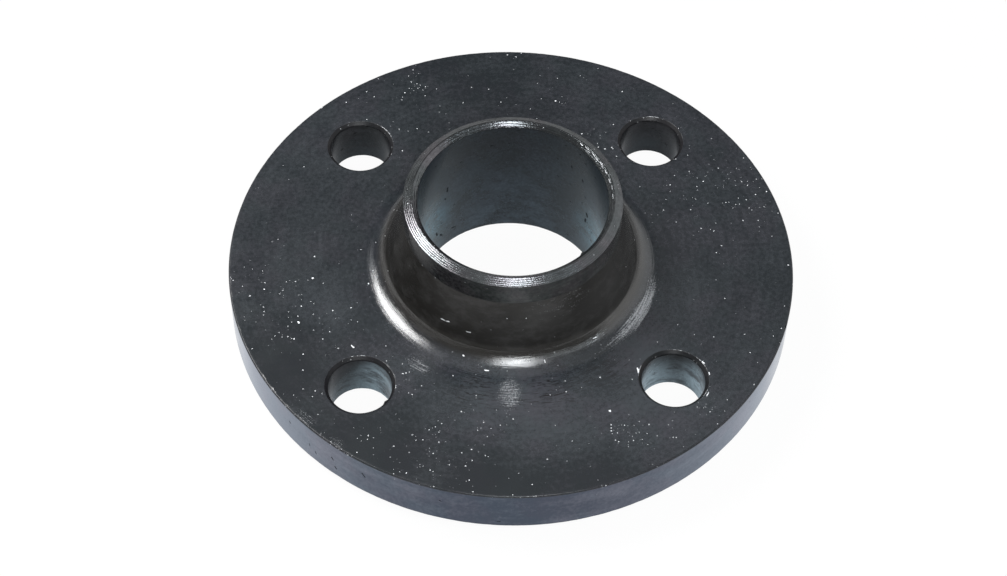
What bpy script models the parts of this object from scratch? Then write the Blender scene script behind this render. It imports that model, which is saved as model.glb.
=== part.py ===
"""Weld neck pipe flange: a turned plate with a tapered hub, a bevelled weld end and four bolt holes.

Metres, +Z up. The flange lies on its raised sealing face. The origin is the centre of that face, and +Z
runs up the bore to the weld end. The bolt holes straddle the X and Y centre lines.
"""

import math

import bpy

# Bore and weld end
BORE_DIAMETER = 0.0545
NECK_WALL = 0.004
WELD_END_LENGTH = 0.0086  # straight stretch of the neck, bevel included
WELD_BEVEL_ANGLE = math.radians(30)  # from the plane of the end
WELD_LAND_WIDTH = 0.0004
WELD_INNER_CHAMFER = 0.0013
BORE_EDGE_BREAK = 0.0005

# Hub
OVERALL_HEIGHT = 0.046
HUB_SPREAD = 0.00625  # how far the cone's foot stands out from the neck
HUB_FILLET_RADIUS = 0.008

# Bolt holes
BOLT_CIRCLE_DIAMETER = 0.125
BOLT_HOLE_COUNT = 4
BOLT_HOLE_DIAMETER = 0.018
BACK_HOLE_BREAK = 0.001
FRONT_HOLE_BREAK = 0.0003

# Plate
PLATE_THICKNESS = 0.018  # raised face included
BOLT_TO_RIM = 0.020  # from a hole's centre out to the rim
PLATE_EDGE_BREAK = 0.0005
RAISED_FACE_HEIGHT = 0.003
RAISED_FACE_TO_HOLE = 0.0025
RAISED_FACE_EDGE_BREAK = 0.0003

# Sizes that follow
BORE_RADIUS = BORE_DIAMETER / 2
NECK_RADIUS = BORE_RADIUS + NECK_WALL
HUB_FOOT_RADIUS = NECK_RADIUS + HUB_SPREAD
BOLT_HOLE_RADIUS = BOLT_HOLE_DIAMETER / 2
BOLT_CIRCLE_RADIUS = BOLT_CIRCLE_DIAMETER / 2
PLATE_RADIUS = BOLT_CIRCLE_RADIUS + BOLT_TO_RIM
RAISED_FACE_RADIUS = BOLT_CIRCLE_RADIUS - BOLT_HOLE_RADIUS - RAISED_FACE_TO_HOLE
CONE_TOP = OVERALL_HEIGHT - WELD_END_LENGTH

# Facets
TURN_STEPS = 128
FILLET_STEPS = 8
HOLE_STEPS = 48
MERGE_DISTANCE = 0.000001
CUTTER_OVERRUN = 0.001
SHARP_ANGLE = math.radians(12)

# Finish
BLACK_LACQUER = (0.034, 0.037, 0.041, 1.0)
LACQUER_ROUGHNESS = 0.36
LACQUER_METALLIC = 0.15


def clear_scene():
    """Removes whatever the scene holds."""
    for obj in list(bpy.data.objects):
        bpy.data.objects.remove(obj, do_unlink=True)


def lacquered_steel():
    """Steel under a thin black lacquer."""
    material = bpy.data.materials.new("black_lacquered_steel")
    material.use_nodes = True
    shader = material.node_tree.nodes["Principled BSDF"]
    shader.inputs["Base Color"].default_value = BLACK_LACQUER
    shader.inputs["Roughness"].default_value = LACQUER_ROUGHNESS
    shader.inputs["Metallic"].default_value = LACQUER_METALLIC
    return material


def weld_end():
    """The end of the neck from its inner chamfer outwards: land, weld bevel and straight wall."""
    land_inside = BORE_RADIUS + WELD_INNER_CHAMFER
    land_outside = land_inside + WELD_LAND_WIDTH
    bevel_depth = (NECK_RADIUS - land_outside) * math.tan(WELD_BEVEL_ANGLE)
    return [
        (BORE_RADIUS, OVERALL_HEIGHT - WELD_INNER_CHAMFER),
        (land_inside, OVERALL_HEIGHT),
        (land_outside, OVERALL_HEIGHT),
        (NECK_RADIUS, OVERALL_HEIGHT - bevel_depth),
        (NECK_RADIUS, CONE_TOP),
    ]


def hub_fillet():
    """The hollow round corner between the hub's cone and the plate's back face, as an arc touching both."""
    cone_height = CONE_TOP - PLATE_THICKNESS
    cone_lean = math.atan2(HUB_SPREAD, cone_height)
    cone_length = math.hypot(HUB_SPREAD, cone_height)
    turn = math.pi / 2 - cone_lean
    reach = min(HUB_FILLET_RADIUS * math.tan(turn / 2), cone_length)
    radius = reach / math.tan(turn / 2)
    centre_r = HUB_FOOT_RADIUS + reach
    centre_z = PLATE_THICKNESS + radius
    points = []
    for step in range(FILLET_STEPS + 1):
        angle = math.pi + cone_lean + turn * step / FILLET_STEPS
        points.append((centre_r + radius * math.cos(angle), centre_z + radius * math.sin(angle)))
    return points


def plate_and_face():
    """The plate's back edge, rim and front edge, then the raised sealing face in to the bore."""
    return [
        (PLATE_RADIUS - PLATE_EDGE_BREAK, PLATE_THICKNESS),
        (PLATE_RADIUS, PLATE_THICKNESS - PLATE_EDGE_BREAK),
        (PLATE_RADIUS, RAISED_FACE_HEIGHT + PLATE_EDGE_BREAK),
        (PLATE_RADIUS - PLATE_EDGE_BREAK, RAISED_FACE_HEIGHT),
        (RAISED_FACE_RADIUS, RAISED_FACE_HEIGHT),
        (RAISED_FACE_RADIUS, RAISED_FACE_EDGE_BREAK),
        (RAISED_FACE_RADIUS - RAISED_FACE_EDGE_BREAK, 0.0),
        (BORE_RADIUS + BORE_EDGE_BREAK, 0.0),
        (BORE_RADIUS, BORE_EDGE_BREAK),
    ]


def turned(name, outline, steps, closed):
    """An object turned about Z from (radius, height) points that run down its outer side."""
    count = len(outline)
    edges = [(index, index + 1) for index in range(count - 1)]
    if closed:
        edges.append((count - 1, 0))
    mesh = bpy.data.meshes.new(name)
    mesh.from_pydata([(radius, 0.0, height) for radius, height in outline], edges, [])
    obj = bpy.data.objects.new(name, mesh)
    bpy.context.scene.collection.objects.link(obj)
    screw = obj.modifiers.new("Turn", "SCREW")
    screw.steps = steps
    screw.render_steps = steps
    screw.use_merge_vertices = True
    screw.merge_threshold = MERGE_DISTANCE
    return obj


def hole_cutter(index):
    """A drill for one bolt hole, flared at both faces so that it also breaks the hole's edges."""
    back_flare = BOLT_HOLE_RADIUS + BACK_HOLE_BREAK + CUTTER_OVERRUN
    front_flare = BOLT_HOLE_RADIUS + FRONT_HOLE_BREAK + CUTTER_OVERRUN
    top = PLATE_THICKNESS + CUTTER_OVERRUN
    bottom = RAISED_FACE_HEIGHT - CUTTER_OVERRUN
    outline = [
        (0.0, top),
        (back_flare, top),
        (BOLT_HOLE_RADIUS, PLATE_THICKNESS - BACK_HOLE_BREAK),
        (BOLT_HOLE_RADIUS, RAISED_FACE_HEIGHT + FRONT_HOLE_BREAK),
        (front_flare, bottom),
        (0.0, bottom),
    ]
    cutter = turned(f"bolt_hole_cutter_{index + 1}", outline, HOLE_STEPS, closed=False)
    spacing = 2 * math.pi / BOLT_HOLE_COUNT
    angle = spacing * (index + 0.5)
    cutter.location = (BOLT_CIRCLE_RADIUS * math.cos(angle), BOLT_CIRCLE_RADIUS * math.sin(angle), 0.0)
    half_facet = math.pi / HOLE_STEPS
    cutter.rotation_euler.z = angle + half_facet
    cutter.hide_render = True
    cutter.display_type = "WIRE"
    return cutter


def cut(obj, cutter):
    """Takes the cutter's shape out of the object."""
    boolean = obj.modifiers.new(cutter.name, "BOOLEAN")
    boolean.operation = "DIFFERENCE"
    boolean.solver = "EXACT"
    boolean.object = cutter


def settle(obj):
    """Turns the object's modifiers into plain faces, smooth on the turned surfaces and crisp at the edges."""
    graph = bpy.context.evaluated_depsgraph_get()
    mesh = bpy.data.meshes.new_from_object(obj.evaluated_get(graph))
    obj.modifiers.clear()
    obj.data = mesh
    mesh.shade_smooth()
    mesh.set_sharp_from_angle(angle=SHARP_ANGLE)


def weld_neck_flange():
    """The whole flange as one turned and drilled solid."""
    outline = weld_end() + hub_fillet() + plate_and_face()
    flange = turned("weld_neck_flange", outline, TURN_STEPS, closed=True)
    cutters = [hole_cutter(index) for index in range(BOLT_HOLE_COUNT)]
    for cutter in cutters:
        cut(flange, cutter)
    bpy.context.view_layer.update()
    settle(flange)
    for cutter in cutters:
        bpy.data.objects.remove(cutter, do_unlink=True)
    flange.data.materials.clear()
    flange.data.materials.append(lacquered_steel())
    return flange


clear_scene()
weld_neck_flange()
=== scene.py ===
"""Weld neck pipe flange of black-lacquered turned steel, on a white studio floor.

Metres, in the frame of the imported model: the origin is the centre of the sealing face, and +Z runs up the
bore to the weld end. The flange is one forging, so one closed mesh stands for it. Geometry Nodes turn its
outlines round the axis, drill the plate and wear the edges. Each stretch that was cut alike has a finish of
its own.
"""

import logging
import math
from dataclasses import dataclass, field, replace
from enum import Enum
from typing import Any

import bmesh
import bpy
from mathutils import Matrix, Vector


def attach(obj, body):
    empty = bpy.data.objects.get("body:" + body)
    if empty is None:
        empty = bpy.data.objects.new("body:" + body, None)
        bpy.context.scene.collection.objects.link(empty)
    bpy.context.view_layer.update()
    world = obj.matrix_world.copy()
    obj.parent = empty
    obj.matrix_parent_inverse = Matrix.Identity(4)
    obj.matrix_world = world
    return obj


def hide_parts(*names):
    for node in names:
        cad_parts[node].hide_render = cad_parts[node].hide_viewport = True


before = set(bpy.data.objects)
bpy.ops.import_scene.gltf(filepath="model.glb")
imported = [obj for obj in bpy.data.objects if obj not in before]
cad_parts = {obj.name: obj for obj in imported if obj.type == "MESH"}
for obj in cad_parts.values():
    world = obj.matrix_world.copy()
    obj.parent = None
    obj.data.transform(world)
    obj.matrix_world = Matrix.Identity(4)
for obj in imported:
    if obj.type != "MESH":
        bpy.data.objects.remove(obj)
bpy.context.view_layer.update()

log = logging.getLogger("flange")

Colour = tuple[float, float, float]
Point = tuple[float, float, float]
Socket = bpy.types.NodeSocket
Sockets = dict[str, Any]
Feeds = dict[str | int, Any]
Inputs = dict[str, tuple[str, Any]]
FLOAT, INT, VECTOR, GEOMETRY = (f"NodeSocket{kind}" for kind in ("Float", "Int", "Vector", "Geometry"))
CAD_NODE = "weld_neck_flange"
BODY = "root"
MERGE = 0.000002
# Colour of bare steel in chips and rubbed places, and of the painted glints and painted highlights drawn the
# same way.
CHIP_AND_GLINT_COLOUR: Colour = (0.85, 0.87, 0.9)
PIT_COLOUR: Colour = (0.006, 0.006, 0.007)
SHARP_ANGLE = math.radians(40)
PIT_COVER = 0.8
SUNK_DEPTH = 0.00002
MM = 0.001


class Zone(Enum):
    """Stretches of the surface that were cut alike and share one finish."""

    BACK = 0
    RIM = 1
    EDGE = 2
    BAND = 3
    BEVEL = 4
    BORE = 5
    HOLE = 6
    FRONT = 7
    SEALING = 8
    CHAMFER = 9
    FILLET = 10
    CONE = 11


Finishes = dict[Zone, bpy.types.Material]


class Cut(Enum):
    """Which way a tool's marks lie: the shares of radius and height in the distance across them."""

    FACED = (1.0, -1.0)
    TURNED = (0.0, 1.0)
    TAPERED = (1.0, 0.0)


def placed(name: str, data: bpy.types.ID) -> bpy.types.Object:
    """Puts an object into the scene.

    Args:
        name: The object's name.
        data: Its mesh, light or camera.

    Returns:
        The object.
    """
    obj = bpy.data.objects.new(name, data)
    bpy.context.scene.collection.objects.link(obj)
    return obj


def lit(name: str) -> tuple[bpy.types.Material, bpy.types.Node]:
    """A new material by that name, and its shader."""
    material = bpy.data.materials.new(name)
    material.use_nodes = True
    return material, material.node_tree.nodes["Principled BSDF"]


# Outlines


@dataclass(frozen=True)
class Corner:
    """One corner of a turned outline.

    Attributes:
        radius: Distance from the axis.
        height: Distance above the sealing face.
        zone: Zone of the stretch that follows the corner.
        rounding: Radius of the arc that rounds the corner.
        arc_zone: Zone of that arc, where it isn't the one that follows.
        arc_share: Share of the arc that has it, before the zone that follows takes over.
    """

    radius: float
    height: float
    zone: Zone = Zone.BACK
    rounding: float = 0.0
    arc_zone: Zone | None = None
    arc_share: float = 1.0


@dataclass(frozen=True)
class Station:
    """One point of a finished outline.

    Attributes:
        radius: Distance from the axis.
        height: Distance above the sealing face.
        zone: Zone of the stretch that follows the point.
        worn: How far the edge here can wear, from 0 to 1.
    """

    radius: float
    height: float
    zone: Zone
    worn: float


@dataclass(frozen=True)
class Outline:
    """A run of corners, rounded into the points that are turned round an axis.

    Attributes:
        corners: The corners, in order, with the metal on the right-hand side of the run.
        arc_step: Largest turn between two neighbouring points of an arc.
        long_arc_step: The same on an arc that is more than an edge.
        guard: Distance from an arc to the extra point that keeps the flat beside it flat.
        edge_reach: Largest rounding that counts as an edge, which wears.
    """

    corners: tuple[Corner, ...]
    arc_step: float = math.radians(12)
    long_arc_step: float = math.radians(3)
    guard: float = 0.00014
    edge_reach: float = 0.0012

    def stations(self) -> list[Station]:
        """Rounds the corners.

        Returns:
            The points in order.
        """
        points: list[Station] = []
        for index, corner in enumerate(self.corners):
            if index in (0, len(self.corners) - 1) or corner.rounding == 0.0:
                points.append(Station(corner.radius, corner.height, corner.zone, 0.0))
            else:
                points.extend(self._arc(index))
        return self._guarded(points)

    def _arc(self, index: int) -> list[Station]:
        """Rounds one corner.

        Args:
            index: The corner's place in the run.

        Returns:
            The arc's points, from the stretch before the corner to the one after it.
        """
        run = self.corners[index - 1 : index + 2]
        before, corner, after = (Vector((c.radius, c.height)) for c in run)
        own = self.corners[index]
        inward = (corner - before).normalized()
        outward = (after - corner).normalized()
        turn = math.atan2(inward.x * outward.y - inward.y * outward.x, inward.dot(outward))
        side = Vector((-inward.y, inward.x)) * math.copysign(1.0, turn)
        start = corner - inward * own.rounding * math.tan(abs(turn) / 2)
        centre = start + side * own.rounding
        is_edge = own.rounding <= self.edge_reach
        steps = max(2, math.ceil(abs(turn) / (self.arc_step if is_edge else self.long_arc_step)))
        arc_zone = own.arc_zone or run[0].zone
        points: list[Station] = []
        for step in range(steps + 1):
            spoke = Matrix.Rotation(turn * step / steps, 2) @ (start - centre)
            worn = 1.0 if is_edge and 0 < step < steps else 0.0
            zone = own.zone if step >= steps * own.arc_share else arc_zone
            points.append(Station(centre.x + spoke.x, centre.y + spoke.y, zone, worn))
        return points

    def _guarded(self, points: list[Station]) -> list[Station]:
        """Adds a point near both ends of each long straight stretch.

        Args:
            points: The outline's points.

        Returns:
            The points with the guards among them.
        """
        guarded: list[Station] = []
        for here, there in zip(points, points[1:]):
            guarded.append(here)
            run = Vector((there.radius - here.radius, there.height - here.height))
            if run.length < 5 * self.guard:
                continue
            for distance in (self.guard, run.length - self.guard):
                spot = run * (distance / run.length)
                guarded.append(Station(here.radius + spot.x, here.height + spot.y, here.zone, 0.0))
        guarded.append(points[-1])
        return guarded

    def profile(self, name: str) -> bpy.types.Object:
        """Lays the outline out as a line of points for the Geometry Nodes.

        Args:
            name: Name of the helper object.

        Returns:
            The helper, with each point's zone and wear as attributes.
        """
        stations = self.stations()
        mesh = bpy.data.meshes.new(name)
        edges = [(index, index + 1) for index in range(len(stations) - 1)]
        mesh.from_pydata([(s.radius, 0.0, s.height) for s in stations], edges, [])
        zones = mesh.attributes.new("zone", "INT", "POINT")
        zones.data.foreach_set("value", [s.zone.value for s in stations])
        worn = mesh.attributes.new("worn", "FLOAT", "POINT")
        worn.data.foreach_set("value", [s.worn for s in stations])
        return placed(name, mesh)


# Node trees


class NodeWork:
    """Adds the nodes of one tree and joins them."""

    def __init__(self, tree: bpy.types.NodeTree) -> None:
        """Takes the tree to work on."""
        self.tree = tree

    def add(self, kind: str, feeds: Feeds | None = None, **settings: Any) -> bpy.types.Node:
        """Adds a node.

        Args:
            kind: The node's type.
            feeds: For each input, by name or index, the socket that feeds it or its plain value.
            settings: The node's own properties.

        Returns:
            The node.
        """
        node = self.tree.nodes.new(kind)
        for name, value in settings.items():
            setattr(node, name, value)
        for key, value in (feeds or {}).items():
            self.feed(self.socket(node, key), value)
        return node

    def socket(self, node: bpy.types.Node, key: str | int) -> Socket:
        """The node's input of that index, or its first one in use of that name."""
        if isinstance(key, int):
            return node.inputs[key]
        return next(s for s in node.inputs if s.name == key and s.enabled)

    def feed(self, socket: Socket, value: Any) -> None:
        """Links a socket to the input, or sets the input's plain value."""
        if isinstance(value, Socket):
            self.tree.links.new(value, socket)
        else:
            socket.default_value = value

    def out(self, node: bpy.types.Node, name: str | int = 0) -> Socket:
        """The node's output of that index, or its first one in use of that name."""
        if isinstance(name, int):
            return [s for s in node.outputs if s.enabled][name]
        return next(s for s in node.outputs if s.name == name and s.enabled)

    def made(self, kind: str, feeds: Feeds | None = None, output: str | int = 0, **settings: Any) -> Any:
        """Adds a node for the sake of one output.

        Args:
            kind: The node's type.
            feeds: What feeds its inputs.
            output: The output's name or index.
            settings: The node's own properties.

        Returns:
            The output.
        """
        return self.out(self.add(kind, feeds, **settings), output)

    def math(self, operation: str, *values: Any, clamp: bool = False) -> Socket:
        """A Math node's result."""
        return self.made("ShaderNodeMath", dict(enumerate(values)), operation=operation, use_clamp=clamp)

    def plus(self, first: Any, second: Any, clamp: bool = False) -> Socket:
        """The sum of two values."""
        return self.math("ADD", first, second, clamp=clamp)

    def minus(self, first: Any, second: Any) -> Socket:
        """The first value less the second."""
        return self.math("SUBTRACT", first, second)

    def times(self, first: Any, second: Any, clamp: bool = False) -> Socket:
        """The product of two values."""
        return self.math("MULTIPLY", first, second, clamp=clamp)

    def over(self, first: Any, second: Any, clamp: bool = False) -> Socket:
        """The first value divided by the second."""
        return self.math("DIVIDE", first, second, clamp=clamp)

    def most(self, first: Any, second: Any) -> Socket:
        """The larger of two values."""
        return self.math("MAXIMUM", first, second)

    def vector(self, operation: str, *values: Any, output: str | int = 0) -> Socket:
        """A Vector Math node's result."""
        return self.made("ShaderNodeVectorMath", dict(enumerate(values)), output, operation=operation)

    def scaled(self, vector: Any, by: Any) -> Socket:
        """A vector made longer or shorter."""
        return self.made("ShaderNodeVectorMath", {0: vector, "Scale": by}, operation="SCALE")

    def dot(self, first: Any, second: Any) -> Socket:
        """The dot product of two vectors."""
        return self.vector("DOT_PRODUCT", first, second, output="Value")

    def apart(self, first: Any, second: Any) -> Socket:
        """The distance between two points."""
        return self.vector("DISTANCE", first, second, output="Value")

    def length(self, x: Any, y: Any) -> Socket:
        """The length of a flat vector."""
        return self.math("POWER", self.plus(self.times(x, x), self.times(y, y)), 0.5)

    def split(self, vector: Socket) -> tuple[Socket, ...]:
        """The vector's X, Y and Z."""
        return tuple(self.add("ShaderNodeSeparateXYZ", {0: vector}).outputs)

    def joined(self, x: Any, y: Any, z: Any) -> Socket:
        """A vector of three values."""
        return self.made("ShaderNodeCombineXYZ", {0: x, 1: y, 2: z})

    def ramp(self, value: Any, low: Any, high: Any, to_low: Any = 0.0, to_high: Any = 1.0) -> Socket:
        """A smooth step from to_low at low to to_high at high."""
        feeds = {"Value": value, "From Min": low, "From Max": high, "To Min": to_low, "To Max": to_high}
        return self.made("ShaderNodeMapRange", feeds, interpolation_type="SMOOTHSTEP")

    def blend(self, factor: Any, first: Any, second: Any, mode: str = "MIX") -> Socket:
        """Mixes two colours.

        Args:
            factor: Share of the second colour.
            first: The first colour.
            second: The second colour.
            mode: How the second goes over the first.

        Returns:
            The mix.
        """
        node = self.add("ShaderNodeMix", data_type="RGBA", blend_type=mode, clamp_factor=True)
        for key, value in (("Factor", factor), ("A", first), ("B", second)):
            plain = isinstance(value, tuple) and len(value) == 3
            self.feed(self.socket(node, key), (*value, 1.0) if plain else value)
        return self.out(node, "Result")

    def noise(self, vector: Any, scale: Any, detail: float = 2.0, roughness: float = 0.5) -> Socket:
        """A noise value from 0 to 1."""
        feeds = {"Vector": vector, "Scale": scale, "Detail": detail, "Roughness": roughness}
        return self.made("ShaderNodeTexNoise", feeds, noise_dimensions="3D")

    def here(self) -> Socket:
        """Each point's position, in a Geometry Nodes tree."""
        return self.made("GeometryNodeInputPosition")

    def named(self, name: str, kind: str = "FLOAT") -> Socket:
        """The attribute by that name, in a Geometry Nodes tree."""
        return self.made("GeometryNodeInputNamedAttribute", {"Name": name}, data_type=kind)

    def stored(self, shape: Any, kind: str, domain: str, name: str, value: Any) -> Socket:
        """The geometry with a value stored on it under a name."""
        feeds = {"Geometry": shape, "Name": name, "Value": value}
        return self.made("GeometryNodeStoreNamedAttribute", feeds, data_type=kind, domain=domain)


class NodeGroup:
    """A node group that is built once and placed wherever it is used.

    Attributes:
        name: The group's name.
        tree_type: The type of its tree.
        group_node: The type of the node that places it.
        takes: The socket type of each input, by name.
        gives: The socket type of each output, by name.
    """

    name = ""
    tree_type = "ShaderNodeTree"
    group_node = "ShaderNodeGroup"
    takes: dict[str, str] = {}
    gives: dict[str, str] = {}

    def __init__(self) -> None:
        """Builds the group's tree."""
        self.tree = bpy.data.node_groups.new(self.name, self.tree_type)
        for way, sockets in (("INPUT", self.takes), ("OUTPUT", self.gives)):
            for label, kind in sockets.items():
                self.tree.interface.new_socket(label, in_out=way, socket_type=kind)
        work = NodeWork(self.tree)
        taken = self.tree.nodes.new("NodeGroupInput").outputs
        given = self.make(work, {socket.name: socket for socket in taken if socket.name})
        end = self.tree.nodes.new("NodeGroupOutput")
        for label, value in given.items():
            work.feed(end.inputs[label], value)

    def make(self, work: NodeWork, taken: Sockets) -> Sockets:
        """Adds the group's nodes.

        Args:
            work: The group's tree.
            taken: The group's inputs by name.

        Returns:
            What feeds each output, by name.
        """
        raise NotImplementedError

    def place(self, work: NodeWork, **feeds: Any) -> Sockets:
        """Places the group in a tree.

        Args:
            work: The tree that uses the group.
            feeds: For each input, its name with _ for a space, and what feeds it.

        Returns:
            The placed group's outputs by name.
        """
        node = work.tree.nodes.new(self.group_node)
        node.node_tree = self.tree
        for label, value in feeds.items():
            work.feed(node.inputs[label.replace("_", " ")], value)
        return {socket.name: socket for socket in node.outputs}


# Geometry node groups


class GeometryGroup(NodeGroup):
    """A group for Geometry Nodes."""

    tree_type = "GeometryNodeTree"
    group_node = "GeometryNodeGroup"


class TurnedSkin(GeometryGroup):
    """Turns an outline round Z into a closed skin."""

    name = "turned_skin"
    takes = {"Outline": GEOMETRY, "Steps": INT}
    gives = {"Skin": GEOMETRY}

    def make(self, work: NodeWork, taken: Sockets) -> Sockets:
        """Bends a grid round the axis, one row to each point of the outline.

        Args:
            work: The group's tree.
            taken: The group's inputs by name.

        Returns:
            The skin, with its zones and wear stored on it.
        """
        size = work.add("GeometryNodeAttributeDomainSize", {"Geometry": taken["Outline"]}, component="MESH")
        rows = work.out(size, "Point Count")
        across = work.plus(taken["Steps"], 1)
        feeds = {"Size X": 1.0, "Size Y": 1.0, "Vertices X": across, "Vertices Y": rows}
        grid = work.made("GeometryNodeMeshGrid", feeds, output="Mesh")
        x, y, _ = work.split(work.here())
        place = work.times(work.plus(y, 0.5), work.minus(rows, 1))
        row = work.math("ROUND", place)
        zone = self._sampled(work, taken["Outline"], "INT", "zone", work.math("FLOOR", place))
        worn = self._sampled(work, taken["Outline"], "FLOAT", "worn", row)
        spot = self._sampled(work, taken["Outline"], "FLOAT_VECTOR", "", row)
        zoned = work.stored(grid, "INT", "FACE", "zone", zone)
        ready = work.stored(zoned, "FLOAT", "POINT", "worn", worn)
        radius, _, height = work.split(spot)
        angle = work.times(work.plus(x, 0.5), math.tau)
        bent = work.joined(
            work.times(radius, work.math("COSINE", angle)),
            work.times(radius, work.math("SINE", angle)),
            height,
        )
        skin = work.made("GeometryNodeSetPosition", {"Geometry": ready, "Position": bent})
        return {"Skin": work.made("GeometryNodeMergeByDistance", {"Geometry": skin, "Distance": MERGE})}

    def _sampled(self, work: NodeWork, outline: Any, kind: str, name: str, index: Any) -> Socket:
        """Reads an attribute of the outline, or its position where no name is given.

        Args:
            work: The tree.
            outline: The outline's geometry.
            kind: The attribute's data type.
            name: The attribute's name, or nothing for the position.
            index: Which point to read.

        Returns:
            The value read.
        """
        value = work.named(name, kind) if name else work.here()
        feeds = {"Geometry": outline, "Value": value, "Index": index}
        return work.made("GeometryNodeSampleIndex", feeds, data_type=kind, domain="POINT")


class HolePoints(GeometryGroup):
    """Points on the bolt circle, halfway between the X and Y centre lines."""

    name = "hole_points"
    takes = {"Count": INT, "Circle Radius": FLOAT}
    gives = {"Points": GEOMETRY}

    def make(self, work: NodeWork, taken: Sockets) -> Sockets:
        """Turns a ring of points by half their spacing.

        Args:
            work: The group's tree.
            taken: The group's inputs by name.

        Returns:
            The points.
        """
        feeds = {"Vertices": taken["Count"], "Radius": taken["Circle Radius"]}
        ring = work.made("GeometryNodeMeshCircle", feeds, fill_type="NONE")
        half = work.over(math.pi, taken["Count"])
        feeds = {"Geometry": ring, "Rotation": work.joined(0.0, 0.0, half)}
        return {"Points": work.made("GeometryNodeTransform", feeds)}


class DrilledRing(GeometryGroup):
    """A flat ring at one height, with a round opening for each bolt hole."""

    name = "drilled_ring"
    takes = {
        "Outer Radius": FLOAT,
        "Outer Steps": INT,
        "Inner Radius": FLOAT,
        "Inner Steps": INT,
        "Hole Radius": FLOAT,
        "Hole Steps": INT,
        "Hole Points": GEOMETRY,
        "Height": FLOAT,
        "Zone": INT,
    }
    gives = {"Ring": GEOMETRY}

    def make(self, work: NodeWork, taken: Sockets) -> Sockets:
        """Fills the space between the circles and lifts it to its height.

        Args:
            work: The group's tree.
            taken: The group's inputs by name.

        Returns:
            The ring, with its zone stored on it.
        """
        names = ("Outer", "Inner", "Hole")
        outer, inner, hole = (self._circle(work, taken[f"{n} Radius"], taken[f"{n} Steps"]) for n in names)
        holes = work.add("GeometryNodeInstanceOnPoints", {"Points": taken["Hole Points"], "Instance": hole})
        drilled = work.add("GeometryNodeRealizeInstances", {"Geometry": work.out(holes)})
        circles = work.add("GeometryNodeJoinGeometry")
        for circle in (outer, inner, work.out(drilled)):
            work.feed(circles.inputs[0], circle)
        flat = work.add("GeometryNodeFillCurve", {0: work.out(circles)}, mode="TRIANGLES")
        feeds = {"Geometry": work.out(flat), "Translation": work.joined(0.0, 0.0, taken["Height"])}
        lifted = work.made("GeometryNodeTransform", feeds)
        return {"Ring": work.stored(lifted, "INT", "FACE", "zone", taken["Zone"])}

    def _circle(self, work: NodeWork, radius: Any, steps: Any) -> Socket:
        """A circle of straight steps."""
        feeds = {"Resolution": steps, "Radius": radius}
        return work.made("GeometryNodeCurvePrimitiveCircle", feeds, mode="RADIUS")


class Push(GeometryGroup):
    """Moves the edges at one spot, fading out round it."""

    name = "push"
    takes = {
        "Geometry": GEOMETRY,
        "Centre": VECTOR,
        "Reach": FLOAT,
        "Offset": VECTOR,
    }
    gives = {"Geometry": GEOMETRY}

    def make(self, work: NodeWork, taken: Sockets) -> Sockets:
        """Moves the worn edges by the offset, less and less out to the reach.

        Args:
            work: The group's tree.
            taken: The group's inputs by name.

        Returns:
            The geometry with the edges moved.
        """
        near = work.ramp(work.apart(work.here(), taken["Centre"]), taken["Reach"], 0.0)
        moved = work.scaled(taken["Offset"], work.times(near, work.named("worn")))
        feeds = {"Geometry": taken["Geometry"], "Offset": moved}
        return {"Geometry": work.made("GeometryNodeSetPosition", feeds)}


# Shader node groups


class RoundTheAxis(NodeGroup):
    """Where a point lies round the flange's axis and round the nearest bolt hole's.

    Attributes:
        apart: How far the holes' patterns are set apart between the sides along X and along Y.
    """

    name = "round_the_axis"
    apart = (17.0, 31.0)
    takes = {"Position": VECTOR, "Hole Offset": FLOAT}
    gives = {
        "Radius": FLOAT,
        "Height": FLOAT,
        "Heading": VECTOR,
        "Turn": FLOAT,
        "Hole Radius": FLOAT,
        "Hole Heading": VECTOR,
        "Hole Turn": FLOAT,
    }

    def make(self, work: NodeWork, taken: Sockets) -> Sockets:
        """Measures both, and sets the four holes' headings apart so that no two are marked alike.

        Args:
            work: The group's tree.
            taken: The group's inputs by name.

        Returns:
            The distances, heights, headings and turns.
        """
        x, y, z = work.split(taken["Position"])
        beside = work.minus(work.math("ABSOLUTE", x), taken["Hole Offset"])
        ahead = work.minus(work.math("ABSOLUTE", y), taken["Hole Offset"])
        radius, hole_radius = work.length(x, y), work.length(beside, ahead)
        side_x, side_y = (work.times(work.math("SIGN", way), step) for way, step in zip((x, y), self.apart))
        hole_x, hole_y = work.over(beside, hole_radius), work.over(ahead, hole_radius)
        return {
            "Radius": radius,
            "Height": z,
            "Heading": work.joined(work.over(x, radius), work.over(y, radius), 0.0),
            "Turn": work.math("ARCTAN2", y, x),
            "Hole Radius": hole_radius,
            "Hole Heading": work.joined(hole_x, hole_y, work.plus(side_x, side_y)),
            "Hole Turn": work.math("ARCTAN2", ahead, beside),
        }


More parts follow.
